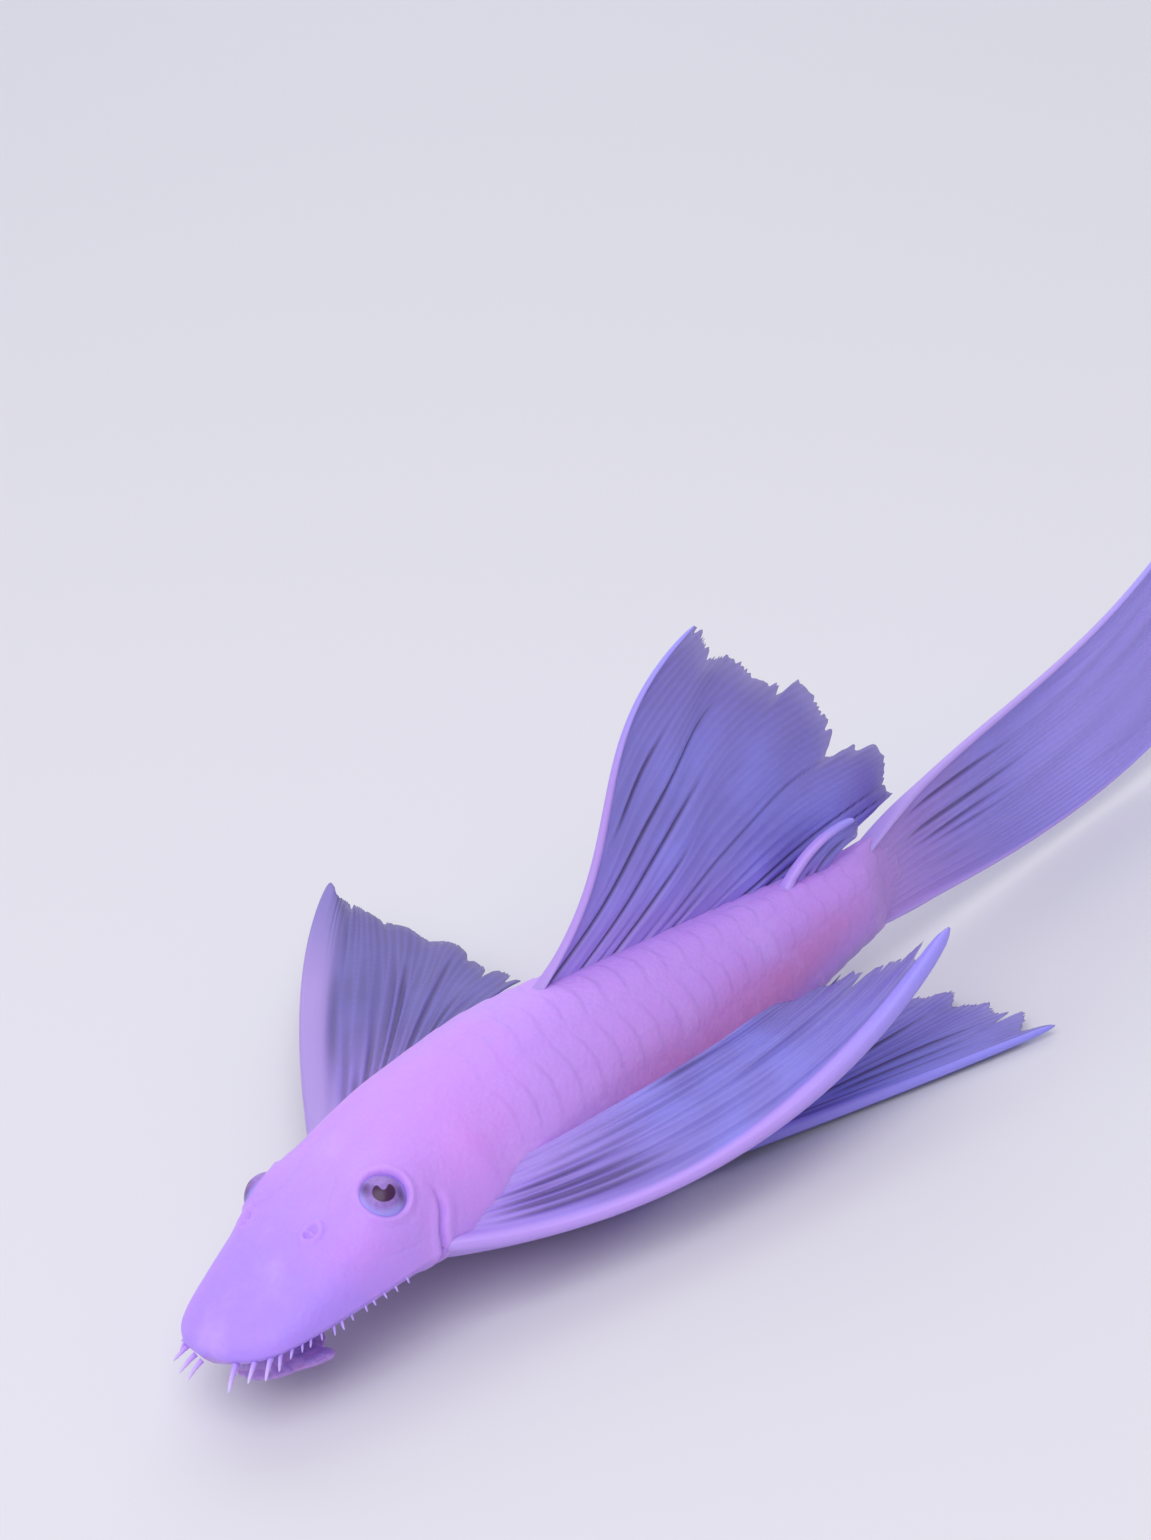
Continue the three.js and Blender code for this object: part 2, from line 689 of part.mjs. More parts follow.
const placed = {};
for (const [name, fin] of Object.entries(FINS)) {
  placed[name] = makeFin(fin);
}
placed.adipose_fin = makeFin(ADIPOSE);
for (const [name, shape] of Object.entries(placed)) {
  addMesh(name, shape, COLOURS.fin, 0.35);
}

const model = new THREE.Group();
model.add(fish);

export default model;
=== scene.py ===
"""A pale, long-finned bristlenose catfish at life size, resting on a pale studio floor."""

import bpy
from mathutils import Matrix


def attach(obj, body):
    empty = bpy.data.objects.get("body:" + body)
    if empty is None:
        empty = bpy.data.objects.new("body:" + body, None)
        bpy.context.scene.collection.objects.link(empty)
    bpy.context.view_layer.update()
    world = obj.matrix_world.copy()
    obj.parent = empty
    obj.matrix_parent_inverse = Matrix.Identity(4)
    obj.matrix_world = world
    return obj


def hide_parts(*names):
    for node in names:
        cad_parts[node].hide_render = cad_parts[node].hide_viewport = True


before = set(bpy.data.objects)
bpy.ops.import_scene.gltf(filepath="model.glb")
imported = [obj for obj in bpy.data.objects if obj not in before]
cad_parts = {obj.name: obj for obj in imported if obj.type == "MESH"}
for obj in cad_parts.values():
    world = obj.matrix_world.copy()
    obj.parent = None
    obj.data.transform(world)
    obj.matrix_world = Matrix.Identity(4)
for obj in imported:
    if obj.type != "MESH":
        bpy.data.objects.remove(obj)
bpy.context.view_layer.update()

import enum
import logging
import math
from dataclasses import dataclass, field

import bpy
import numpy as np
from mathutils import Matrix, Vector

log = logging.getLogger("catfish")

MM = 0.001
Array = np.ndarray
Triple = tuple[float, float, float]


class Side(enum.Enum):
    """The two sides of the animal, by the sign of Y."""

    LEFT = -1
    RIGHT = 1

    def angle(self, degrees: float) -> float:
        """Angle round a section, in radians, for a place given on the right side."""
        return math.radians(180 - degrees if self is Side.LEFT else degrees)


class Slot(enum.Enum):
    """The record's material slots."""

    SKIN = "skin"
    LIP = "lip"
    FIN = "fin"
    EYE = "eye"


# Numbers and curves


def smooth(low: float, high: float, value: Array) -> Array:
    """Ease from 0 to 1 between two values.

    Args:
        low: Value where the ease starts.
        high: Value where it ends.
        value: Numbers to ease.

    Returns:
        Eased numbers.
    """
    t = np.clip((np.asarray(value, float) - low) / (high - low), 0, 1)
    return t * t * (3 - 2 * t)


def bell(value: Array, width: float) -> Array:
    """A bell curve of height 1 at 0."""
    return np.exp(-((np.asarray(value, float) / width) ** 2))


def between(stations: Array, values: Array, s: Array) -> Array:
    """Smooth value at a station, with slopes from the neighbouring rows.

    Args:
        stations: Rising stations of the rows.
        values: One value a row.
        s: Stations to work out.

    Returns:
        The values there.
    """
    s = np.asarray(s, float)
    count = len(stations)
    i = np.clip(np.searchsorted(stations, s, side="left") - 1, 0, count - 2)
    before, after = np.maximum(i - 1, 0), np.minimum(i + 2, count - 1)
    span = stations[i + 1] - stations[i]
    t = (s - stations[i]) / span
    slope_a = (values[i + 1] - values[before]) / (stations[i + 1] - stations[before])
    slope_b = (values[after] - values[i]) / (stations[after] - stations[i])
    rise = t * t * (3 - 2 * t)
    lead = t * (1 - t) ** 2 * span * slope_a
    trail = t * t * (t - 1) * span * slope_b
    return values[i] + (values[i + 1] - values[i]) * rise + lead + trail


def through(points: list[Triple], u: Array) -> Array:
    """Points on a smooth centripetal curve through a few places.

    Args:
        points: Places on the curve.
        u: Parameters from 0 to 1.

    Returns:
        One row of coordinates for each parameter.
    """
    p = np.asarray(points, float)
    p = np.vstack([2 * p[0] - p[1], p, 2 * p[-1] - p[-2]])
    spans = len(points) - 1
    at = np.clip(np.asarray(u, float) * spans, 0, spans)
    i = np.minimum(at.astype(int), spans - 1)
    t = (at - i)[..., None]
    knots = np.sqrt(np.linalg.norm(np.diff(p, axis=0), axis=1))
    d0, d1, d2 = (knots[i + k][..., None] for k in range(3))
    x0, x1, x2, x3 = (p[i + k] for k in range(4))
    t1 = ((x1 - x0) / d0 - (x2 - x0) / (d0 + d1) + (x2 - x1) / d1) * d1
    t2 = ((x2 - x1) / d1 - (x3 - x1) / (d1 + d2) + (x3 - x2) / d2) * d1
    return x1 + t1 * t + (3 * (x2 - x1) - 2 * t1 - t2) * t**2 + (2 * (x1 - x2) + t1 + t2) * t**3


def unit(vectors: Array) -> Array:
    """Vectors of length 1."""
    return vectors / np.maximum(np.linalg.norm(vectors, axis=-1, keepdims=True), 1e-12)


# Shader maths


class Wire:
    """A shader socket that adds Math nodes when it is used in an expression."""

    def __init__(self, graph: "Graph", socket: bpy.types.NodeSocket) -> None:
        """Wrap a socket of a graph."""
        self.graph = graph
        self.socket = socket

    def _with(self, operation: str, first: object, second: object) -> "Wire":
        """A Math node on two values or wires."""
        node = self.graph.node("ShaderNodeMath", {"operation": operation}, {0: first, 1: second})
        return Wire(self.graph, node.outputs[0])

    def __add__(self, other: object) -> "Wire":
        """Sum."""
        return self._with("ADD", self, other)

    __radd__ = __add__

    def __mul__(self, other: object) -> "Wire":
        """Product."""
        return self._with("MULTIPLY", self, other)

    __rmul__ = __mul__

    def __sub__(self, other: object) -> "Wire":
        """Difference."""
        return self._with("SUBTRACT", self, other)

    def __rsub__(self, other: object) -> "Wire":
        """Difference from a number."""
        return self._with("SUBTRACT", other, self)

    def ease(self, low: float, high: float) -> "Wire":
        """Smooth step from 0 to 1 between two values.

        Args:
            low: Value that gives 0.
            high: Value that gives 1.

        Returns:
            The eased wire.
        """
        settings = {"interpolation_type": "SMOOTHSTEP"}
        values = {"Value": self, "From Min": low, "From Max": high}
        return Wire(self.graph, self.graph.node("ShaderNodeMapRange", settings, values).outputs[0])

    def bell(self, centre: float, width: float) -> "Wire":
        """A bump of height 1 round a value.

        Args:
            centre: Value at its top.
            width: Distance over which it falls away.

        Returns:
            The wire of the bump.
        """
        away = (self - centre) * (1 / width)
        return self.graph.math("EXPONENT", away * away * -1.0)


class Graph:
    """The node graph of one material."""

    def __init__(self, name: str) -> None:
        """Start a material with an empty graph."""
        self.material = bpy.data.materials.new(name)
        self.material.use_nodes = True
        self.tree = self.material.node_tree
        self.tree.nodes.clear()

    def node(
        self, kind: str, settings: dict | None = None, values: dict | None = None
    ) -> bpy.types.Node:
        """Add a node.

        Args:
            kind: Type of the node.
            settings: Its properties, set first.
            values: Values or wires of its inputs, by name or number.

        Returns:
            The node.
        """
        node = self.tree.nodes.new(kind)
        for key, value in (settings or {}).items():
            setattr(node, key, value)
        for key, value in (values or {}).items():
            socket = node.inputs[key]
            if isinstance(value, Wire):
                self.tree.links.new(value.socket, socket)
            else:
                socket.default_value = value
        return node

    def math(self, operation: str, value: object) -> Wire:
        """A Math node with one input."""
        return Wire(self, self.node("ShaderNodeMath", {"operation": operation}, {0: value}).outputs[0])

    def attribute(self, name: str) -> Wire:
        """A number stored on the mesh."""
        return Wire(self, self.node("ShaderNodeAttribute", {"attribute_name": name}).outputs["Fac"])

    def place(self) -> Wire:
        """The point's place in the object's own frame."""
        return Wire(self, self.node("ShaderNodeTexCoord").outputs["Object"])

    def noise(self, scale: float, detail: float = 3.0, rough: float = 0.5) -> Wire:
        """Fractal noise, about 0.5 on average.

        Args:
            scale: Cells in a metre.
            detail: Octaves.
            rough: Weight of the finer octaves.

        Returns:
            The wire of the noise.
        """
        values = {"Vector": self.place(), "Scale": scale, "Detail": detail, "Roughness": rough}
        return Wire(self, self.node("ShaderNodeTexNoise", None, values).outputs["Fac"])

    def cells(self, scale: float) -> Wire:
        """Distance to the middle of the nearest of many random cells."""
        values = {"Vector": self.place(), "Scale": scale}
        pattern = self.node("ShaderNodeTexVoronoi", {"feature": "F1"}, values)
        return Wire(self, pattern.outputs["Distance"])

    def mix(self, factor: object, first: object, second: object) -> Wire:
        """Mix of two colours.

        Args:
            factor: Share of the second colour.
            first: Colour or wire at 0.
            second: Colour or wire at 1.

        Returns:
            The wire of the colour.
        """
        node = self.node("ShaderNodeMix", {"data_type": "RGBA", "clamp_factor": True}, {0: factor})
        for index, value in ((6, first), (7, second)):
            if isinstance(value, Wire):
                self.tree.links.new(value.socket, node.inputs[index])
            else:
                node.inputs[index].default_value = (*value, 1.0)
        return Wire(self, node.outputs[2])

    def bump(
        self, height: Wire, distance: float, strength: float = 1.0, under: Wire | None = None
    ) -> Wire:
        """A Bump node.

        Args:
            height: Height from 0 to 1.
            distance: Real height of 1, in metres.
            strength: Strength of the effect.
            under: Normal that it adds to.

        Returns:
            The wire of the normal.
        """
        values = {"Height": height, "Distance": distance, "Strength": strength}
        if under is not None:
            values["Normal"] = under
        return Wire(self, self.node("ShaderNodeBump", None, values).outputs[0])

    def finish(self, values: dict) -> bpy.types.Material:
        """Add the surface shader and the output.

        Args:
            values: Inputs of the surface shader.

        Returns:
            The material.
        """
        shader = self.node("ShaderNodeBsdfPrincipled", None, values)
        output = self.node("ShaderNodeOutputMaterial")
        self.tree.links.new(shader.outputs[0], output.inputs[0])
        return self.material


# Finishes


def shade(red: float, green: float, blue: float) -> Triple:
    """Turn a colour given as it shows on a screen into linear light.

    Args:
        red: Red from 0 to 1.
        green: Green from 0 to 1.
        blue: Blue from 0 to 1.

    Returns:
        The colour that a material takes.
    """
    low = 0.04045
    return tuple(c / 12.92 if c <= low else ((c + 0.055) / 1.055) ** 2.4 for c in (red, green, blue))


@dataclass(frozen=True)
class Blush:
    """A soft patch of another tone, by its station, its level round the body and how far both reach."""

    station: float
    reach: float
    level: float
    spread: float
    share: float


@dataclass(frozen=True)
class SkinFinish:
    """Pale, faintly rosy skin with fine grain and plate seams."""

    back: Triple = shade(0.78, 0.60, 0.96)
    snout: Triple = shade(0.70, 0.56, 0.98)
    pale: Triple = shade(0.82, 0.68, 0.99)
    tip: Triple = shade(0.84, 0.80, 0.99)
    rose: Triple = shade(0.84, 0.56, 0.94)
    flank: Triple = shade(0.80, 0.50, 0.76)
    belly: Triple = shade(0.72, 0.60, 0.88)
    seam: Triple = shade(0.66, 0.48, 0.84)
    stem: Triple = shade(0.73, 0.57, 0.89)
    nape: Blush = Blush(27.5, 5.5, 0.62, 0.42, 0.6)
    nose: Blush = Blush(14.5, 3.0, 0.5, 0.35, 0.35)

    def material(self) -> bpy.types.Material:
        """Build the material.

        Returns:
            The material.
        """
        g = Graph("pale_skin")
        along, around = g.attribute("along"), g.attribute("around")
        mottle = g.noise(260.0, 4.0)
        drift = (mottle - 0.5) * 6.0
        place = along + drift
        colour = g.mix(1 - place.ease(8.0, 22.0), self.back, self.snout)
        for blush in (self.nape, self.nose):
            patch = place.bell(blush.station, blush.reach) * around.bell(blush.level, blush.spread)
            colour = g.mix(patch * blush.share, colour, self.rose)
        side = (around + drift * 0.04).bell(0.12, 0.4) * place.ease(33.0, 48.0)
        side = side * (1 - place.ease(62.0, 77.0) * 0.75)
        colour = g.mix(side * 0.8, colour, self.flank)
        colour = g.mix(place.ease(60.0, 80.0) * 0.1, colour, self.flank)
        colour = g.mix((0.0 - around).ease(0.25, 0.75), colour, self.belly)
        colour = g.mix((along + drift * 0.5).ease(71.0, 79.5), colour, self.stem)
        colour = g.mix(g.attribute("seam") * 0.04, colour, self.seam)
        patch = g.noise(115.0, 4.0, 0.6)
        colour = g.mix(patch.ease(0.52, 0.72) * 0.3, colour, self.rose)
        colour = g.mix((1 - patch).ease(0.54, 0.72) * 0.35, colour, self.pale)
        colour = g.mix(g.attribute("pale") * 0.8, colour, self.tip)
        speck = g.cells(1500.0)
        colour = g.mix(speck.ease(0.15, 0.0) * 0.3, colour, self.rose)
        grain = g.bump(1 - g.cells(2300.0), 0.00006, 0.55)
        fine = g.bump(g.noise(900.0, 4.0), 0.00012, 0.5, grain)
        rough = 0.44 + g.noise(500.0) * 0.2
        return g.finish({
            "Base Color": colour,
            "Roughness": rough,
            "Normal": fine,
            "Subsurface Weight": 0.35,
            "Subsurface Radius": (1.0, 0.45, 0.6),
            "Subsurface Scale": 0.0012,
            "Coat Weight": 0.08,
            "Coat Roughness": 0.3,
            "Specular IOR Level": 0.35,
        })


@dataclass(frozen=True)
class LipFinish:
    """Soft lip with small papillae."""

    colour: Triple = shade(0.64, 0.54, 0.84)
    tint: Triple = shade(0.70, 0.54, 0.84)

    def material(self) -> bpy.types.Material:
        """Build the material.

        Returns:
            The material.
        """
        g = Graph("soft_lip")
        cells = g.cells(1800.0)
        colour = g.mix(cells.ease(0.1, 0.7), self.colour, self.tint)
        return g.finish({
            "Base Color": colour,
            "Roughness": 0.38 + g.noise(700.0) * 0.15,
            "Normal": g.bump(1 - cells, 0.00018, 0.8),
            "Subsurface Weight": 0.4,
            "Subsurface Radius": (1.0, 0.5, 0.6),
            "Subsurface Scale": 0.001,
            "Coat Weight": 0.2,
            "Coat Roughness": 0.2,
        })


@dataclass(frozen=True)
class FinFinish:
    """Thin milky membrane between paler rays, rosy at the root, with painted shade in its folds.

    Attributes:
        name: Name of the material.
        clear: Opacity of the open membrane.
        glow: Share of the outer tone in the outer half.
        tip: Share of the bright tone at a spine's tip.
        dark: Share of the painted shade in a fold.
        mauve: How near the root its tone starts, where 1 is at the root.
    """

    name: str
    ray: Triple = shade(0.62, 0.58, 0.93)
    membrane: Triple = shade(0.54, 0.51, 0.85)
    bright: Triple = shade(0.58, 0.58, 0.97)
    margin: Triple = shade(0.48, 0.43, 0.70)
    # Painted shade for the fin's folds, where the creases sink.
    fold: Triple = shade(0.29, 0.23, 0.45)
    root: Triple = shade(0.69, 0.56, 0.92)
    spine: Triple = shade(0.75, 0.62, 0.96)
    outer: Triple = shade(0.68, 0.63, 0.98)
    clear: float = 0.9
    glow: float = 0.0
    tip: float = 0.75
    dark: float = 0.74
    mauve: float = 0.45

    def material(self) -> bpy.types.Material:
        """Build the material.

        Returns:
            The material.
        """
        g = Graph(self.name)
        ray, reach, spine = g.attribute("ray"), g.attribute("reach"), g.attribute("spine")
        fold, rim = g.attribute("fold"), g.attribute("rim")
        cloud = g.noise(130.0, 3.0)
        colour = g.mix(cloud.ease(0.4, 0.75), self.membrane, self.bright)
        colour = g.mix(reach.ease(0.3, 0.65) * self.glow, colour, self.outer)
        colour = g.mix(rim.ease(0.6, 1.0) * 0.7, colour, self.margin)
        colour = g.mix(ray * 0.4, colour, self.ray)
        colour = g.mix((1 - reach).ease(self.mauve, 1.0) * 0.9, colour, self.root)
        # Painted shade along the folds, darkest where a crease is deepest.
        colour = g.mix(fold.ease(0.1, 0.9) * self.dark, colour, self.fold)
        strong = g.mix(reach.ease(0.5, 0.95) * self.tip, self.spine, self.bright)
        colour = g.mix(spine.ease(0.1, 0.95), colour, strong)
        joints = g.math("SINE", reach * 260.0) * 0.5 + 0.5
        normal = g.bump(joints * ray, 0.00003, 0.4)
        normal = g.bump(g.noise(1400.0, 3.0), 0.00005, 0.35, normal)
        solid = (spine + (1 - reach).ease(0.7, 1.0)).ease(0.0, 0.75)
        thin = self.clear - rim.ease(0.9, 1.0) * 0.25
        return g.finish({
            "Base Color": colour,
            "Roughness": 0.4 + cloud * 0.16,
            "Normal": normal,
            "Alpha": thin + solid * (1.0 - thin),
            "Subsurface Weight": 0.2,
            "Subsurface Radius": (0.7, 0.5, 0.9),
            "Subsurface Scale": 0.0008,
            "Coat Weight": 0.1,
            "Coat Roughness": 0.3,
        })


def fin_finishes() -> dict[str, FinFinish]:
    """Choose the finishes of the fins that differ from the plain one.

    Returns:
        The finishes, by the node that the fin stands for.
    """
    return {
        "caudal_fin": FinFinish(
            "tail_fin",
            root=shade(0.71, 0.55, 0.87),
            spine=shade(0.70, 0.60, 0.90),
            membrane=shade(0.56, 0.52, 0.86),
            margin=shade(0.62, 0.57, 0.90),
            mauve=0.55,
            glow=0.85,
        ),
        # The back fin takes stronger painted shade in its folds.
        "dorsal_fin": FinFinish("back_fin", spine=shade(0.69, 0.57, 0.88), dark=0.84),
        "pelvic_fin_left": FinFinish(
            "belly_fin",
            spine=shade(0.62, 0.58, 0.96),
            ray=shade(0.66, 0.64, 1.0),
            outer=shade(0.57, 0.58, 0.99),
            # Stronger painted shade in the belly fin's folds.
            dark=0.92,
            glow=0.7,
        ),
        # The far pectoral fin takes a darker copy of the fin finish: painted shade for the fin on the
        # side away from the light.
        "pectoral_fin_right": FinFinish(
            "far_fin_painted_shade",
            spine=shade(0.66, 0.56, 0.84),
            ray=shade(0.48, 0.44, 0.78),
            membrane=shade(0.38, 0.34, 0.63),
            bright=shade(0.44, 0.41, 0.73),
            margin=shade(0.36, 0.32, 0.56),
        ),
    }


@dataclass(frozen=True)
class EyeFinish:
    """Silvery lilac iris with a dark lobed pupil under a wet surface."""

    iris: Triple = shade(0.62, 0.49, 0.82)
    fleck: Triple = shade(0.52, 0.38, 0.68)
    smudge: Triple = shade(0.33, 0.23, 0.46)
    pupil: Triple = shade(0.27, 0.12, 0.30)
    white: Triple = shade(0.66, 0.61, 0.95)

    def material(self) -> bpy.types.Material:
        """Build the material.

        Returns:
            The material.
        """
        g = Graph("wet_eye")
        ring, lobe = g.attribute("ring"), g.attribute("lobe")
        streak = g.noise(2600.0, 3.0)
        iris = g.mix(streak.ease(0.35, 0.7) * 0.6, self.iris, self.fleck)
        colour = g.mix(ring.ease(0.62, 0.84), iris, self.white)
        colour = g.mix(g.attribute("smudge") * 0.8, colour, self.smudge)
        colour = g.mix(lobe.ease(0.3, 0.7), colour, self.pupil)
        return g.finish({
            "Base Color": colour,
            "Roughness": 0.3 + streak * 0.1,
            "Subsurface Weight": 0.2,
            "Subsurface Scale": 0.0006,
            "Coat Weight": 0.16,
            "Coat Roughness": 0.2,
            "Specular IOR Level": 0.35,
        })


@dataclass(frozen=True)
class FloorFinish:
    """Plain pale studio floor."""

    colour: Triple = shade(0.86, 0.86, 0.88)

    def material(self) -> bpy.types.Material:
        """Build the material.

        Returns:
            The material.
        """
        g = Graph("studio_floor")
        cloud = g.noise(6.0)
        return g.finish({
            "Base Color": g.mix(cloud * 0.08, self.colour, shade(0.80, 0.80, 0.83)),
            "Roughness": 0.75,
        })


# Meshes


@dataclass
class Solid:
    """Points, faces and numbers stored at the points, gathered into one mesh."""

    points: list[Array] = field(default_factory=list)
    faces: list[Array] = field(default_factory=list)
    marks: dict[str, list[Array]] = field(default_factory=dict)
    count: int = 0

    def add(self, points: Array, faces: Array, marks: dict[str, Array] | None = None) -> None:
        """Add a patch.

        Args:
            points: Rows of coordinates in millimetres.
            faces: Rows of four point numbers, a triangle repeating its last.
            marks: Numbers at the points, by name.
        """
        self.points.append(points.reshape(-1, 3))
        self.faces.append(faces.reshape(-1, 4) + self.count)
        names = set(self.marks) | set(marks or {})
        for name in names:
            earlier = self.marks.setdefault(name, [np.zeros(self.count)] if self.count else [])
            value = (marks or {}).get(name)
            value = 0.0 if value is None else value
            earlier.append(np.broadcast_to(value, points.shape[:-1]).ravel())
        self.count += len(self.points[-1])

    def build(self, name: str) -> bpy.types.Object:
        """Make the object in metres, with smooth faces.

        Args:
            name: Name of the object.

        Returns:
            The object.
        """
        points = np.concatenate(self.points) * MM
        faces = np.concatenate(self.faces)
        three = faces[:, 2] == faces[:, 3]
        loops = [tuple(f[:3]) if flat else tuple(f) for f, flat in zip(faces.tolist(), three)]
        mesh = bpy.data.meshes.new(name)
        mesh.from_pydata(points.tolist(), [], loops)
        mesh.validate()
        mesh.update()
        for key, values in self.marks.items():
            layer = mesh.attributes.new(key, "FLOAT", "POINT")
            layer.data.foreach_set("value", np.concatenate(values).astype(np.float32))
        mesh.shade_smooth()
        thing = bpy.data.objects.new(name, mesh)
        bpy.context.scene.collection.objects.link(thing)
        return thing


def tube_faces(rings: int, sides: int) -> Array:
    """Faces of a closed skin over rings of points, with a pole point before and after them.

    Args:
        rings: Number of rings.
        sides: Points in each ring.

    Returns:
        Rows of point numbers, with the poles last.
    """
    i, j = np.meshgrid(np.arange(rings - 1), np.arange(sides), indexing="ij")
    k = (j + 1) % sides
    wall = np.stack([i * sides + j, i * sides + k, (i + 1) * sides + k, (i + 1) * sides + j], -1)
    edge = np.arange(sides)
    after = (edge + 1) % sides
    first, last = rings * sides, rings * sides + 1
    base = (rings - 1) * sides
    start = np.stack([after, edge, np.full(sides, first), np.full(sides, first)], -1)
    end = np.stack([base + edge, base + after, np.full(sides, last), np.full(sides, last)], -1)
    return np.concatenate([wall.reshape(-1, 4), start, end])


def with_poles(rings: Array) -> Array:
    """Rings of points with a pole point before the first and after the last."""
    poles = np.stack([rings[0].mean(0), rings[-1].mean(0)])
    return np.concatenate([rings.reshape(-1, 3), poles])


def tube(path: Array, radius: Array, sides: int) -> Array:
    """Rings round a path.

    Args:
        path: Points along the middle.
        radius: Radius at each of them.
        sides: Points in a ring.

    Returns:
        Rings of points.
    """
    ahead = unit(np.gradient(path, axis=0))
    hint = np.array([0.0, 0.0, 1.0]) if abs(ahead[0][2]) < 0.9 else np.array([0.0, 1.0, 0.0])
    across = unit(np.cross(ahead, hint))
    up = np.cross(across, ahead)
    angle = np.linspace(0, 2 * np.pi, sides, endpoint=False)
    spread = across[:, None] * np.cos(angle)[None, :, None] + up[:, None] * np.sin(angle)[None, :, None]
    return path[:, None] + spread * np.asarray(radius)[:, None, None]


# The animal's form, in millimetres and in stations from the snout


@dataclass
class Form:
    """The body's stations, pose and scutes.

    Attributes:
        snout: First station of the skin.
        tail_root: Station where the tail stem ends.
        last: Last station of the tables.
        origin: Station that lies over the row's origin.
        pivot: Station where the centre line crosses the middle of the row.
        step: Distance between the traced points of the centre line.
        roll_level: Level of the axis that the body rolls about.
        end_narrow: Share of its width that the stem loses inside the tail fin.
        narrow_span: Stations between which it does.
        end_low: Share of its height that it loses there.
        low_span: Stations between which it does.
        plate_start: Station of the first row of scutes.
        plate_pitch: Length of a scute.
        plate_rise: Height of a scute's rear edge.
        plate_point: How far that edge points back.
        plate_crest: Where the edge starts to fall, as a share of the length.
        plate_keel: Height of a scute's keel, as a share of its rise.
        plate_fade: Stations between which the scutes appear.
        belly_fade: The same for those low on the sides.
        rows: Edges of the rows of scutes, in degrees up from the side.
    """

    snout: float = 4.0
    tail_root: float = 80.0
    last: float = 81.0
    origin: float = 40.0
    pivot: float = 38.0
    step: float = 0.25
    roll_level: float = 5.0
    end_narrow: float = 0.85
    narrow_span: tuple[float, float] = (74.5, 80.8)
    end_low: float = 0.14
    low_span: tuple[float, float] = (77, 80.8)
    plate_start: float = 29.3
    plate_pitch: float = 2.18
    plate_rise: float = 0.08
    plate_point: float = 0.7
    plate_crest: float = 0.76
    plate_keel: float = 0.55
    plate_fade: tuple[float, float] = (28, 34)
    belly_fade: tuple[float, float] = (30, 56)
    rows: tuple[float, ...] = (-78, -44, -12, 22, 56, 90)
    stations: tuple = (
        # station, half width, top, low, widest level, upper power, lower power
        (4.0, 1.8, 7.4, 5.9, 6.6, 2.2, 1.8),
        (4.7, 4.2, 8.2, 5.5, 6.6, 2.2, 1.7),
        (6.2, 5.9, 9.1, 5.1, 6.6, 2.2, 1.6),
        (9.5, 7.1, 10.6, 4.6, 6.6, 2.2, 1.6),
        (14, 8.0, 12.4, 4.2, 6.6, 2.3, 1.6),
        (19, 8.7, 14.2, 3.8, 6.6, 2.3, 1.6),
        (25, 9.2, 15.7, 2.8, 6.5, 2.2, 1.7),
        (31, 9.4, 16.7, 1.0, 6.2, 2.1, 2.2),
        (37, 9.1, 17.5, -0.5, 6.1, 2.0, 2.7),
        (46, 7.8, 16.8, -0.3, 6.3, 2.0, 2.6),
        (56, 5.9, 15.3, 0.9, 7.0, 2.0, 2.4),
        (66, 4.0, 13.6, 2.6, 7.8, 2.1, 2.2),
        (74, 2.8, 12.6, 3.7, 8.2, 2.2, 2.2),
        (81, 1.7, 12.7, 3.7, 8.2, 2.2, 2.2),
    )
    pose: tuple = (
        # station, heading and roll in degrees
        (0, 10, -10),
        (22, 7.5, -9),
        (34, -1, -5),
        (44, 0, -3),
        (56, 3, -1.5),
        (81, 3.5, 0),
    )

    def __post_init__(self) -> None:
        """Trace the centre line seen from above."""
        self.table = np.array(self.stations, float).T
        self.turns = np.array(self.pose, float).T
        s = np.arange(0, self.tail_root + 8 + self.step, self.step)
        heading = np.radians(between(self.turns[0], self.turns[1], np.minimum(s, self.last)))
        x = np.concatenate([[0], np.cumsum(self.step * np.cos(heading))[:-1]])
        y = np.concatenate([[0], np.cumsum(self.step * np.sin(heading))[:-1]])
        middle = int(round(self.pivot / self.step))
        self.trace = (s, x - x[middle] + self.pivot - self.origin, y - y[middle])

    def place(self, s: Array, y: Array, z: Array) -> Array:
        """Point at a station, a distance to the right and a level.

        Args:
            s: Stations.
            y: Distances to the right.
            z: Levels.

        Returns:
            Coordinates in the row's frame, in millimetres.
        """
        s, y, z = np.broadcast_arrays(np.asarray(s, float), y, z)
        turned = np.clip(s, 0, self.last)
        heading = np.radians(between(self.turns[0], self.turns[1], turned))
        roll = np.radians(between(self.turns[0], self.turns[2], turned))
        side = y * np.cos(roll) - (z - self.roll_level) * np.sin(roll)
        level = y * np.sin(roll) + (z - self.roll_level) * np.cos(roll) + self.roll_level
        x = np.interp(s, self.trace[0], self.trace[1]) - side * np.sin(heading)
        across = np.interp(s, self.trace[0], self.trace[2]) + side * np.cos(heading)
        return np.stack([x, across, level], -1)

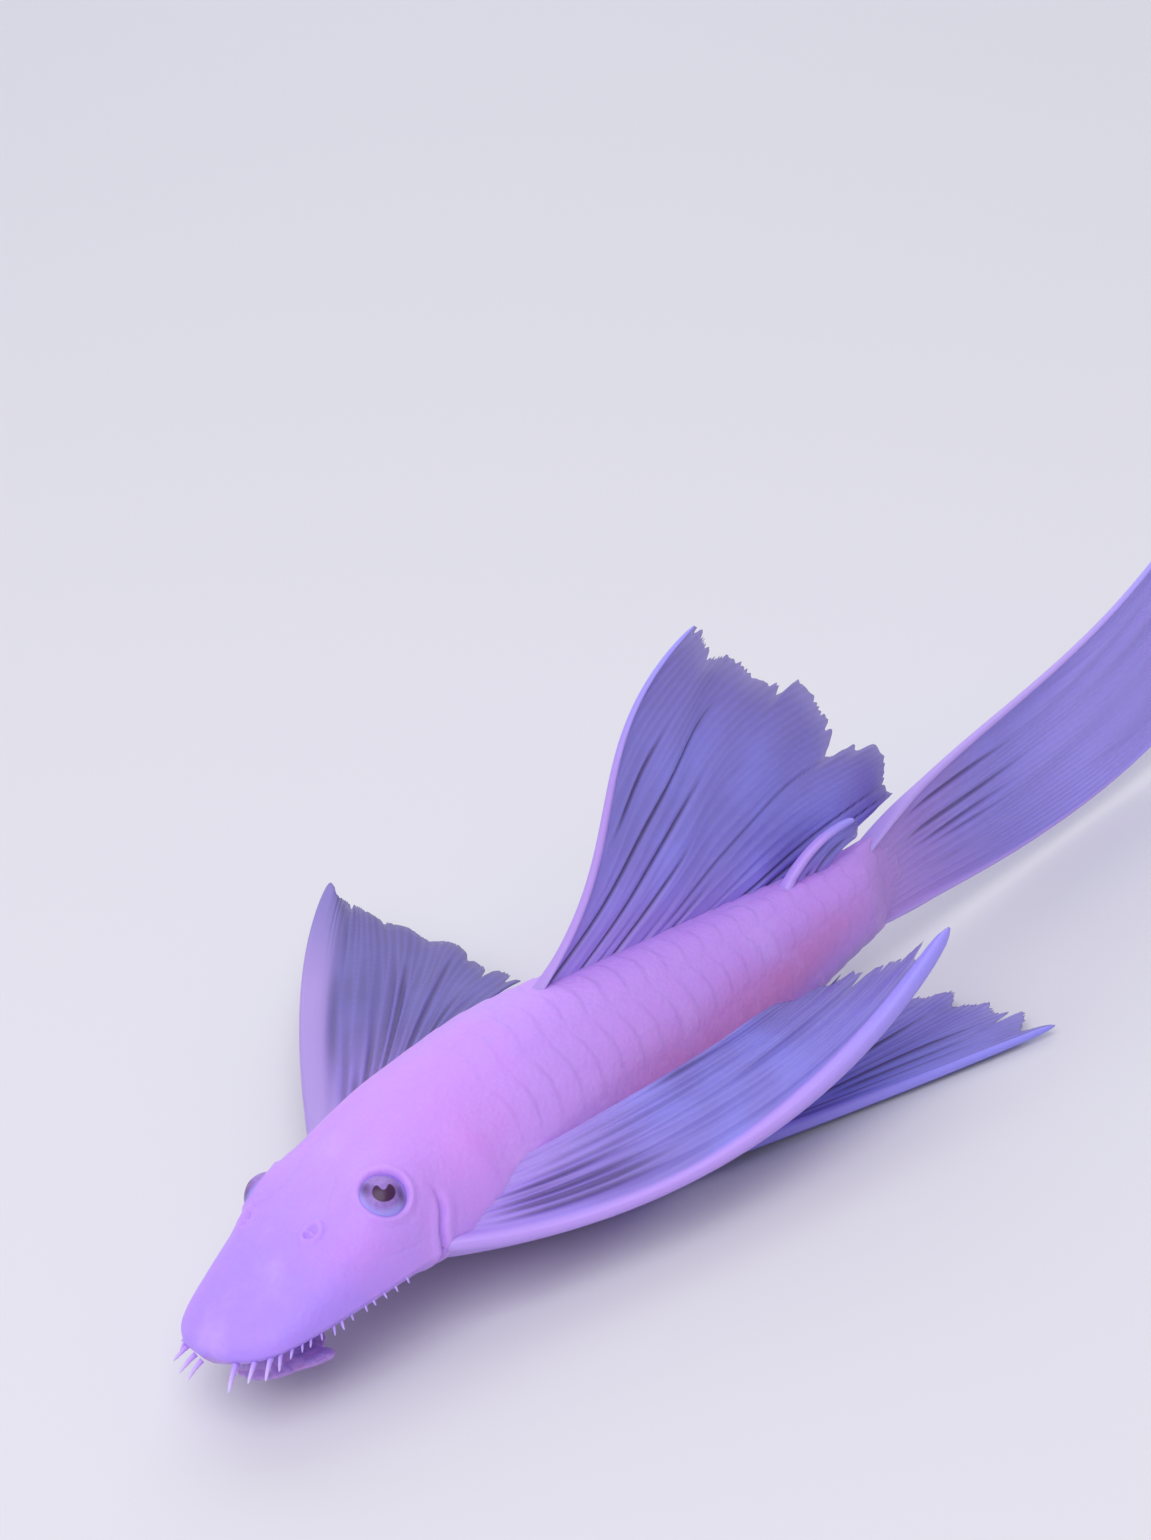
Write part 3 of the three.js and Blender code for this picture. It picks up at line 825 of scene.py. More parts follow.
    def skin(self, s: Array, angle: Array, lift: Array = 0.0) -> Array:
        """Point of the skin.

        Args:
            s: Stations.
            angle: Angles round the section, 0 on the right and a quarter turn on the back.
            lift: Height over the skin.

        Returns:
            Coordinates in millimetres, none below the floor.
        """
        s, angle, lift = np.broadcast_arrays(np.asarray(s, float), angle, lift)
        at = np.clip(s, self.snout, self.last)
        half, top, low, mid, upper, lower = (between(self.table[0], row, at) for row in self.table[1:])
        half = half * (1 - self.end_narrow * smooth(*self.narrow_span, s))
        sin, cos = np.sin(angle), np.cos(angle)
        tall = np.where(sin >= 0, top - mid, mid - low)
        tall = tall * (1 - self.end_low * smooth(*self.low_span, s))
        power = np.where(sin >= 0, upper, lower)
        y = half * np.sign(cos) * np.abs(cos) ** (2 / power)
        z = tall * np.sign(sin) * np.abs(sin) ** (2 / power)
        ny = np.sign(y) * np.abs(y / half) ** (power - 1) / half
        nz = np.sign(z) * np.abs(z / tall) ** (power - 1) / tall
        length = np.maximum(np.hypot(ny, nz), 1e-9)
        point = self.place(s, y + ny / length * lift, mid + z + nz / length * lift)
        point[..., 2] = np.maximum(point[..., 2], 0)
        return point

    def outward(self, s: float, angle: float) -> Array:
        """Direction away from the skin at a place."""
        return unit(self.skin(s, angle, 1.0) - self.skin(s, angle, 0.0))

    def plates(self, s: Array, angle: Array) -> tuple[Array, Array]:
        """Scutes: five rows on each side, their rear edges raised and pointing back.

        Args:
            s: Stations.
            angle: Angles round the section, in radians.

        Returns:
            Height over the skin, and how close a seam is, from 0 to 1.
        """
        degrees = np.degrees(np.arcsin(np.clip(np.sin(angle), -1, 1)))
        edges = np.array(self.rows, float)
        row = np.clip(np.searchsorted(edges, degrees) - 1, 0, len(edges) - 2)
        t = np.clip((degrees - edges[row]) / (edges[row + 1] - edges[row]), 0, 1)
        crown = np.sin(np.pi * t)
        column = (s - self.plate_point * crown - self.plate_start) / self.plate_pitch
        part = column - np.floor(column)
        ramp = np.clip(part / self.plate_crest, 0, 1) * (1 - smooth(self.plate_crest, 1.0, part))
        shown = smooth(*self.plate_fade, s) * np.where(degrees < -20, smooth(*self.belly_fade, s), 1)
        shown = shown * smooth(-80, -70, degrees)
        keel = self.plate_keel * bell(t - 0.5, 0.16)
        height = self.plate_rise * (ramp * np.minimum(1, crown * 2.2) * (0.75 + keel))
        seam = np.maximum(bell(part - 0.97, 0.07), 0.7 * bell(crown, 0.16)) * shown
        return height * shown, seam


FORM = Form()


@dataclass
class Eye:
    """One eye in its socket, with its iris and pupil in shares of the eyeball's radius."""

    side: Side
    radius: float = 2.05
    station: float = 18.8
    around: float = 43.5
    sunk: float = 0.95
    gaze: Triple = (-0.10, 0.0, 0.12)
    upright: Triple = (0.25, 0.0, 1.0)
    pupil_radius: float = 0.42
    flap_radius: float = 0.22
    smudge_reach: float = 0.62
    rings: int = 72
    sides: int = 96

    def centre(self) -> Array:
        """Middle of the eyeball."""
        return FORM.skin(self.station, self.side.angle(self.around), -self.sunk)

    def outward(self) -> Array:
        """Direction away from the head."""
        return FORM.outward(self.station, self.side.angle(self.around))

    def build(self) -> bpy.types.Object:
        """Make the eyeball with its iris and lobed pupil marked on it.

        Returns:
            The object.
        """
        axis = unit(self.outward() + np.array(self.gaze))
        up = unit(np.array(self.upright) - axis * np.dot(axis, self.upright))
        side = np.cross(up, axis)
        polar = np.linspace(0.012, math.pi - 0.012, self.rings)[:, None]
        turn = np.linspace(0, 2 * math.pi, self.sides, endpoint=False)[None]
        a = np.sin(polar) * np.cos(turn)
        b = np.sin(polar) * np.sin(turn)
        c = np.cos(polar) + 0 * turn
        bulge = 1 + 0.03 * bell(polar + 0 * turn, 0.55)
        points = side * a[..., None] + up * b[..., None] + axis * c[..., None]
        rings = self.centre() + points * (self.radius * bulge)[..., None]
        disc = np.hypot(a, b) + (c < 0) * 2
        lobe = np.clip(1 - (np.hypot(a / 1.1, b + 0.12) / self.pupil_radius) ** 4, 0, 1)
        flap = bell(np.hypot(a / 0.8, (b - 0.16) / 1.3), self.flap_radius)
        pupil = np.clip(lobe * 1.6 - flap * 2.2, 0, 1) * (c > 0)
        ends = bell(np.hypot(np.abs(a) - self.smudge_reach, b * 0.6 + a * 0.2), 0.2) * (c > 0)
        solid = Solid()
        marks = {
            "ring": np.append(disc.ravel(), [0, 3]),
            "lobe": np.append(pupil.ravel(), [1, 0]),
            "smudge": np.append(ends.ravel(), [0, 0]),
        }
        solid.add(with_poles(rings), tube_faces(self.rings, self.sides), marks)
        return solid.build(f"eyeball_{self.side.name.lower()}")


@dataclass(frozen=True)
class Swell:
    """A soft swelling of the skin, or a hollow where its height is below 0.

    Attributes:
        height: Height in millimetres.
        around: Where it lies round the section, in degrees on the right side.
        spread: How far it reaches round the section, in radians.
        station: Station of its middle.
        reach: How far it reaches along the body.
    """

    height: float
    around: float
    spread: float
    station: float
    reach: float

    def at(self, s: Array, angle: Array, side: Side) -> Array:
        """Work out its height.

        Args:
            s: Stations.
            angle: Angles round the section, in radians.
            side: Side that it is on.

        Returns:
            Heights in millimetres.
        """
        away = np.abs(angle - side.angle(self.around))
        return self.height * bell(away, self.spread) * bell(s - self.station, self.reach)


@dataclass
class Skin:
    """One skin over the head, trunk and tail stem, with everything that is raised on it."""

    rings: int = 760
    sides: int = 380
    overlap: float = 0.8
    eyes: tuple[Eye, Eye] = (Eye(Side.LEFT), Eye(Side.RIGHT, station=17.2))
    brow: Swell = Swell(0.28, 63, 0.11, 15.5, 3.6)
    hollow: Swell = Swell(-0.22, 76, 0.14, 19.5, 4.5)
    shoulder: Swell = Swell(0.25, 28, 0.4, 27.2, 1.6)
    snout_ridge: Swell = Swell(0.14, 90, 0.2, 10, 4)
    nape_ridge: float = 0.2
    lid_radius: float = 1.95
    lid_rise: float = 0.34
    socket_radius: float = 1.72
    socket_depth: float = 0.9
    nostril_station: float = 13.4
    nostril_around: float = 64.0
    nostril_radius: float = 0.62
    nostril_depth: float = 0.32
    nostril_rim: float = 0.14
    gill: tuple = ((22.4, 32), (22, 18), (21.1, 8), (20.6, -10), (20.2, -34), (19.2, -58))
    gill_depth: float = 0.42
    gill_rim: float = 0.16
    belly_rise: float = 0.05

    def grid(self) -> tuple[Array, Array]:
        """Lay out the mesh, closer at the snout.

        Returns:
            Stations and angles of its points.
        """
        t = np.linspace(0, 1, self.rings)
        length = FORM.tail_root + self.overlap - FORM.snout
        s = FORM.snout + length * (0.25 * t**2.2 + 0.75 * t)
        angle = np.linspace(0, 2 * np.pi, self.sides, endpoint=False)
        return np.meshgrid(s, angle, indexing="ij")

    def relief(self, s: Array, angle: Array, rest: Array) -> Array:
        """Height of the head's features over the plain skin.

        Args:
            s: Stations.
            angle: Angles.
            rest: Points of the plain skin.

        Returns:
            Heights in millimetres.
        """
        height = np.zeros_like(s)
        for eye in self.eyes:
            centre, out = eye.centre(), eye.outward()
            away = rest - centre
            depth = away @ out
            wide = np.linalg.norm(away - depth[..., None] * out, axis=-1)
            near = depth > -0.5
            lid = self.lid_rise * bell(wide - self.lid_radius, 0.36)
            pouch = 0.26 * bell(wide - self.lid_radius - 0.65, 1.1)
            socket = self.socket_depth * (1 - smooth(self.socket_radius - 0.37, self.socket_radius, wide))
            height += np.where(near, lid + pouch - socket, 0)
        for side in Side:
            height += self.nostril(rest, side) + self.cheek(rest, side)
            for swell in (self.brow, self.hollow, self.shoulder):
                height += swell.at(s, angle, side)
        ridge = bell(angle - math.pi / 2, 0.16) * smooth(22, 30, s) * (1 - smooth(36, 38, s))
        return height + self.nape_ridge * ridge + self.snout_ridge.at(s, angle, Side.RIGHT)

    def nostril(self, rest: Array, side: Side) -> Array:
        """A pit with a raised rim and a flap of skin across it.

        Args:
            rest: Points of the plain skin.
            side: Side that it is on.

        Returns:
            Heights in millimetres.
        """
        centre = FORM.skin(self.nostril_station, side.angle(self.nostril_around))
        away = np.linalg.norm((rest - centre) * np.array([0.85, 1.0, 1.0]), axis=-1)
        flap = 0.8 * bell(rest[..., 0] - centre[0], 0.13)
        edge = self.nostril_radius
        pit = self.nostril_depth * (1 - smooth(edge - 0.32, edge, away)) * (1 - flap)
        return self.nostril_rim * bell(away - edge - 0.13, 0.2) - pit

    def cheek(self, rest: Array, side: Side) -> Array:
        """The gill cover's rear edge, a groove with the shoulder's rim behind it.

        Args:
            rest: Points of the plain skin.
            side: Side that it is on.

        Returns:
            Heights in millimetres.
        """
        path = np.array([FORM.skin(station, side.angle(around)) for station, around in self.gill])
        line = through([tuple(p) for p in path], np.linspace(0, 1, 60))
        away = np.full(rest.shape[:-1], np.inf)
        for point in line:
            away = np.minimum(away, np.linalg.norm(rest - point, axis=-1))
        rim = self.gill_rim * bell(away - 0.6, 0.45)
        fade = smooth(-0.2, 2.2, line[0][2] - rest[..., 2])
        return (rim - self.gill_depth * bell(away, 0.24)) * fade

    def build(self) -> bpy.types.Object:
        """Make the skin.

        Returns:
            The object.
        """
        s, angle = self.grid()
        rest = FORM.skin(s, angle)
        plates, seam = FORM.plates(s, angle)
        lift = plates + self.relief(s, angle, rest) * smooth(FORM.snout, FORM.snout + 1.5, s)
        belly = np.sin(angle) < -0.55
        lift = np.where(belly, np.minimum(lift, self.belly_rise), lift)
        points = FORM.skin(s, angle, lift)
        solid = Solid()
        marks = {
            "along": np.append(s.ravel(), [FORM.snout, FORM.tail_root]),
            "around": np.append(np.sin(angle).ravel(), [0, 0]),
            "seam": np.append(seam.ravel(), [0, 0]),
            "pale": np.zeros(s.size + 2),
        }
        solid.add(with_poles(points), tube_faces(self.rings, self.sides), marks)
        return solid.build("skin")


@dataclass
class Bristles:
    """Fleshy bristles in a row on the snout's margin, longest at its front."""

    count: int = 33
    seed: int = 11
    longest: float = 1.6
    shortest: float = 0.35
    drop: float = 0.8
    thick: float = 0.23
    sunk: float = 0.6
    reach: float = 13.0
    rings: int = 14
    sides: int = 14

    def build(self) -> bpy.types.Object:
        """Make the bristles as one mesh.

        Returns:
            The object.
        """
        draw = np.random.default_rng(self.seed)
        solid = Solid()
        ahead = unit(FORM.place(FORM.snout, 0, 6) - FORM.place(FORM.snout + 4, 0, 6))
        for t in np.linspace(-1, 1, self.count):
            s = FORM.snout + abs(t) ** 1.25 * self.reach + draw.uniform(-0.12, 0.12)
            low = 0.12 + draw.uniform(-0.06, 0.08)
            angle = math.pi + low if t < 0 else 0.3 * float(smooth(0.15, 0.4, t)) - low
            front = 1 - float(smooth(0.08, 0.34, abs(t + 0.04)))
            length = self.shortest * draw.uniform(0.5, 1.5)
            length += (self.longest - self.shortest) * front * draw.uniform(0.45, 1.0)
            root = FORM.skin(s, angle, -self.sunk) - np.array([0, 0, self.drop * (1 - abs(t))])
            out = FORM.outward(s, angle) * (0.35 + abs(t)) + ahead * (1.25 - abs(t))
            out = unit(out + np.array([0, 0, draw.uniform(-0.4, 0.2) - 0.45 * (1 - abs(t))]))
            tip = root + out * (self.sunk + 0.1 + length)
            sway = np.array([draw.uniform(-0.12, 0.12), draw.uniform(-0.12, 0.12), 0.15])
            u = np.linspace(0, 1, self.rings)[:, None]
            path = (1 - u) ** 2 * root + 2 * u * (1 - u) * ((root + tip) / 2 + sway) + u**2 * tip
            radius = self.thick * (0.5 + 0.4 * min(length, 1.4)) * (1 - 0.45 * u[:, 0])
            radius *= np.sqrt(np.clip(1 - u[:, 0] ** 7, 0.02, 1))
            pale = np.append(np.repeat(u[:, 0], self.sides), [0, 1]) * (0.35 + 0.65 * front)
            marks = {"along": 6.0, "around": 0.4, "seam": 0.0, "pale": pale}
            rings = tube(path, radius, self.sides)
            solid.add(with_poles(rings), tube_faces(self.rings, self.sides), marks)
        return solid.build("bristles")


@dataclass
class Mouth:
    """The sucking disc under the head with a barbel at each corner."""

    station: float = 9.2
    sides: int = 160
    profile: tuple = (
        # reach and level
        (2.2, 6.0), (2.4, 4.9), (2.9, 4.0), (3.4, 3.5), (3.7, 3.2),
        (3.4, 2.9), (2.6, 2.8), (1.7, 3.0), (1.0, 3.6), (0.4, 3.8),
    )

    def build(self) -> bpy.types.Object:
        """Make the disc.

        Returns:
            The object.
        """
        u = np.linspace(0, 1, 90)
        line = through([(r, z, 0.0) for r, z in self.profile], u)
        reach, level = line[:, 0][:, None], line[:, 1][:, None]
        turn = np.linspace(0, 2 * np.pi, self.sides, endpoint=False)[None]
        corner = bell(np.abs(np.sin(turn)) - 1, 0.05)
        spread = smooth(2.9, 3.5, reach) * corner * 1.5
        rear = np.where(np.cos(turn) > 0, 1.02, 0.86)
        frill = 0.06 * np.sin(turn * 23) * smooth(2.8, 3.6, reach)
        s = self.station + (reach + frill) * rear * np.cos(turn) + spread * 0.7
        rings = FORM.place(s, (reach + spread + frill) * np.sin(turn), level + 0 * turn)
        rings[..., 2] = np.maximum(rings[..., 2], 0.02)
        solid = Solid()
        solid.add(with_poles(rings), tube_faces(len(u), self.sides), {"along": 8.0})
        return solid.build("lips")


@dataclass
class Spine:
    """A strong ray along one edge of a fin.

    Attributes:
        edge: Edge that it runs along, 0 or 1.
        thick: Half its thickness at the root, in millimetres.
        thin: Half its thickness at the tip.
        root: Share of its thickness at the very root.
        broad: How far its flat back reaches over the fin.
        spread: How much farther that is at the tip.
    """

    edge: float
    thick: float
    thin: float
    root: float = 1.0
    broad: float = 1.0
    spread: float = 0.0


@dataclass
class Crease:
    """A fold that runs along a ray, sunk into the fin and darkened with painted shade.

    Attributes:
        ray: Ray that it follows, by its place at the root.
        start: Where it starts along the ray.
        end: Where it ends.
        depth: Its depth from 0 to 1.
    """

    ray: float
    start: float
    end: float
    depth: float = 1.0


@dataclass
class Fin:
    """A fin: rays fan out through guide curves from its root to its margin.

    Attributes:
        name: Name of the piece.
        guides: Curves across the fin, each a list of places, from its root to its margin.
        rays: Number of main rays.
        spines: Spines along its edges.
        creases: Its folds, drawn at random where none are given.
        cuts: Notches of the margin, by place, width and depth.
        fan: How far the rays run off from an edge, which is edge 1 where this is below 0.
        ragged: Depth of the splits between the rays, as a share of their length.
        tears: Unevenness of the margin, as such a share.
        fray: Fine unevenness of the margin, as such a share.
        fleshy: Half thickness that the root has over the membrane, in millimetres.
        membrane: Half thickness of the membrane.
        ridge: Height of a ray on either face.
        crease: Depth of a full fold.
        ripple: Height of the fin's waves.
        clearance: Level of the upper face where the fin lies on the floor.
        columns: Mesh columns for each ray.
        rows: Mesh rows.
        seed: Seed of the random draws.
    """

    name: str
    guides: list
    rays: int
    spines: list
    creases: tuple = ()
    cuts: tuple = ()
    fan: float = 0.0
    ragged: float = 0.07
    tears: float = 0.05
    fray: float = 0.005
    fleshy: float = 0.45
    membrane: float = 0.10
    ridge: float = 0.07
    crease: float = 0.30
    ripple: float = 0.22
    clearance: float = 0.12
    columns: int = 22
    rows: int = 120
    seed: int = 3

    def sheet(self, u: Array, v: Array) -> Array:
        """Points of the fin's middle surface.

        Args:
            u: Places across the rays.
            v: Places along them.

        Returns:
            Coordinates in millimetres.
        """
        last = len(self.guides) - 1
        total = np.zeros((*np.broadcast(u, v).shape, 3))
        for k, guide in enumerate(self.guides):
            weight = np.ones_like(u * v)
            for m in range(last + 1):
                if m != k:
                    weight = weight * (v * last - m) / (k - m)
            total += weight[..., None] * through(guide, u)
        return total

    def across(self) -> Array:
        """Lay out the mesh across the fin, closer at its spines.

        Returns:
            Places from 0 to 1.
        """
        even = np.linspace(0, 1, self.rays * self.columns + 1)
        near = 0.12 * np.linspace(0, 1, 26) ** 1.5
        parts = [even] + [np.abs(spine.edge - near) for spine in self.spines]
        return np.unique(np.round(np.concatenate(parts), 5))

    def ray(self, u: Array, v: Array) -> Array:
        """Which ray a place is on, since the rays run off from one of the fin's edges.

        Args:
            u: Places across the rays.
            v: Places along them.

        Returns:
            The ray's place at the root, below 0 or over 1 where it starts on a spine.
        """
        across = 1 - u if self.fan < 0 else u
        q = across - abs(self.fan) * v
        for _ in range(6):
            q = across - abs(self.fan) * v * (1 - ((q - 0.05) / 0.95) ** 2)
        return 1 - q if self.fan < 0 else q

    def forks(self, q: Array, v: Array) -> Array:
        """Ridges of rays that fork twice on their way out.

        Args:
            q: Rays of the places.
            v: Places along them.

        Returns:
            Height from 0 to 1.
        """
        offset = np.abs(q * self.rays - np.floor(q * self.rays) - 0.5)
        first = 0.25 * smooth(0.16, 0.5, v)
        second = 0.12 * smooth(0.42, 0.8, v)
        width = 0.16 - 0.10 * smooth(0.0, 0.85, v)
        return bell(np.abs(np.abs(offset - first) - second), width)

    def folds(self, q: Array, v: Array, draw: np.random.Generator) -> Array:
        """Narrow creases between the rays, each with a reach of its own.

        Args:
            q: Rays of the places.
            v: Places along them.
            draw: Source of the reaches where none are given.

        Returns:
            Depth from 0 to 1.
        """
        creases = self.creases
        if not creases:
            first, count = (-0.4 if self.fan > 0 else 0.0), self.rays * 2
            at = (np.arange(1, count) + draw.uniform(-0.2, 0.2, count - 1)) / count
            rays = first + (1 - first) * at
            ends = draw.uniform(0.3, 0.95, count - 1)
            depths = draw.uniform(0.25, 1.0, count - 1)
            creases = [Crease(a, 0.03, b, c) for a, b, c in zip(rays, ends, depths)]
        span = np.linalg.norm(self.sheet(np.ones_like(v), v) - self.sheet(np.zeros_like(v), v), axis=-1)
        wide = (0.16 + 0.17 * np.sin(np.pi * np.clip(v, 0, 1))) / span
        total = np.zeros_like(q)
        for crease in creases:
            shown = smooth(crease.start - 0.05, crease.start + 0.12, v)
            shown = shown * (1 - smooth(crease.end - 0.22, crease.end + 0.04, v))
            wander = 0.004 * np.sin(v * 9 + crease.ray * 40)
            line = bell(q - crease.ray + wander, wide)
            total = np.maximum(total, line * shown * crease.depth)
        return total

    def margin(self, u: Array, draw: np.random.Generator) -> Array:
        """Length at each place across, with soft lobes, a few tears and a frayed edge.

        Args:
            u: Places across the rays.
            draw: Source of the random lengths.

        Returns:
            Lengths, about 1.
        """
        knots = np.linspace(0, 1, self.rays * 2 + 1)
        lobes = self.tears * np.interp(u, knots, draw.uniform(-1, 0.2, knots.size))
        at = u * self.rays + 0.35 * np.sin(u * 11 + self.seed)
        depth = draw.uniform(0.0, 1, self.rays + 3)[np.round(at).astype(int) + 1] ** 2
        notch = self.ragged * depth * bell(at - np.round(at), 0.1)
        fray = self.fray * np.sin(u * 230 + 5 * np.sin(u * 47)) * draw.uniform(0.5, 1.5, u.shape)
        fade = np.ones_like(u)
        for spine in self.spines:
            fade = fade * smooth(0.0, 0.08, np.abs(u - spine.edge))
        for place, width, amount in self.cuts:
            notch = notch + amount * bell(u - place, width)
        return 1 + (lobes - notch + fray) * fade

    def widen(self, middle: Array, u: Array, v: Array) -> tuple[Array, Array, Array]:
        """Make room for the spines, which stand out past the sheet's edges.

        Args:
            middle: Points of the sheet.
            u: Places across the rays.
            v: Places along them.

        Returns:
            The moved points, and the spines' height and share there.
        """
        height, share = np.zeros_like(u), np.zeros_like(u)
        for spine in self.spines:
            edge = self.sheet(np.full_like(v, spine.edge), v)
            out = unit(edge - self.sheet(np.full_like(v, abs(spine.edge - 0.04)), v))
            thick = spine.thick + (spine.thin - spine.thick) * v**0.8
            thick = thick * np.sqrt(np.clip(1 - v**30, 0.05, 1))
            thick = thick * (spine.root + (1 - spine.root) * smooth(0, 0.14, v))
            middle = middle + out * (thick * bell(u - spine.edge, 0.05))[..., None]
            rim = middle[:1] if spine.edge == 0 else middle[-1:]
            away = np.linalg.norm(middle - rim, axis=-1) / thick
            rounded = np.sqrt(np.clip(1 - np.clip(1 - away, 0, 1) ** 2, 0, 1))
            broad = spine.broad + spine.spread * smooth(0.35, 0.9, v)
            inner = 1 - smooth(0, 1, (away / broad - 1.1) / 2.3)
            height += thick * rounded * inner
            share = np.maximum(share, inner)
        return middle, height, share

    def build(self) -> bpy.types.Object:
        """Make the fin with its spines.

        Returns:
            The object.
        """
        draw = np.random.default_rng(self.seed)
        u, w = np.meshgrid(self.across(), np.linspace(0, 1, self.rows), indexing="ij")
        v = w * (1 + (self.margin(u[:, :1], draw) - 1) * smooth(0.3, 1, w))
        q = self.ray(u, v)
        ridge, fold = self.forks(q, v), self.folds(q, v, draw)
        e = 0.01
        step = self.sheet(np.clip(u + e, 0, 1), v) - self.sheet(np.clip(u - e, 0, 1), v)
        normal = unit(np.cross(step, self.sheet(u, v + e) - self.sheet(u, v - e)))
        middle, height, share = self.widen(self.sheet(u, v), u, v)
        fold, ridge = fold * (1 - share), ridge * (1 - share)
        phase = draw.uniform(0, 6.28, 3)
        wave = np.sin(u * 17 + 3 * v + phase[0]) * np.sin(v * 7 + phase[1])
        wave = wave + 0.5 * np.sin(u * 31 + phase[2])
        lift = self.ripple * wave * smooth(0.1, 0.7, v) * (1 - share) - self.crease * fold
        middle = middle + normal * lift[..., None]
        flesh = self.fleshy * (1 - smooth(0, 0.2, v))
        half = self.membrane * (1 - 0.5 * smooth(0.6, 1, w)) + self.ridge * ridge * (1 - 0.5 * v) + flesh
        half = half * (1 - 0.75 * bell(1 - w, 0.012)) + height
        top = middle + normal * half[..., None]
        bottom = middle - normal * half[..., None]
        upward = normal[..., 2] > 0
        low = 0.01
        top[..., 2] = np.maximum(top[..., 2], np.where(upward, self.clearance, low))
        bottom[..., 2] = np.maximum(bottom[..., 2], np.where(upward, low, self.clearance))
        solid = Solid()
        # The fold mask sinks the creases and carries their painted shade into the fin finish.
        marks = {"ray": ridge, "reach": v, "fold": fold, "spine": share, "rim": w}
        self.shell(solid, top, bottom, marks)
        return solid.build(self.name)

    def shell(self, solid: Solid, top: Array, bottom: Array, marks: dict) -> None:
        """Add both faces of the sheet and its edge.

        Args:
            solid: Mesh that takes them.
            top: Points of one face.
            bottom: Points of the other.
            marks: Numbers at the points.
        """
        n, m = top.shape[:2]
        i, j = np.meshgrid(np.arange(n - 1), np.arange(m - 1), indexing="ij")
        corner = i * m + j
        quad = np.stack([corner, corner + m, corner + m + 1, corner + 1], -1).reshape(-1, 4)
        other = n * m
        near, far = np.arange(n) * m, np.arange(n) * m + m - 1
        last = (n - 1) * m + np.arange(1, m)
        edge = np.concatenate([near, last, far[::-1][1:], np.arange(m - 2, 0, -1)])
        after = np.roll(edge, -1)
        rim = np.stack([after, edge, edge + other, after + other], -1)
        faces = np.concatenate([quad, quad[:, ::-1] + other, rim])
        both = {key: np.concatenate([value.ravel(), value.ravel()]) for key, value in marks.items()}
        solid.add(np.concatenate([top.reshape(-1, 3), bottom.reshape(-1, 3)]), faces, both)


def on_body(*places: Triple) -> list[Triple]:
    """Places given by station, distance to the right and level, so that a root follows the body."""
    return [tuple(FORM.place(s, y, z)) for s, y, z in places]


def in_row(*places: Triple) -> list[Triple]:
    """Places given from the snout's station 0, moved to the row's origin."""
    return [(x - FORM.origin, y, z) for x, y, z in places]


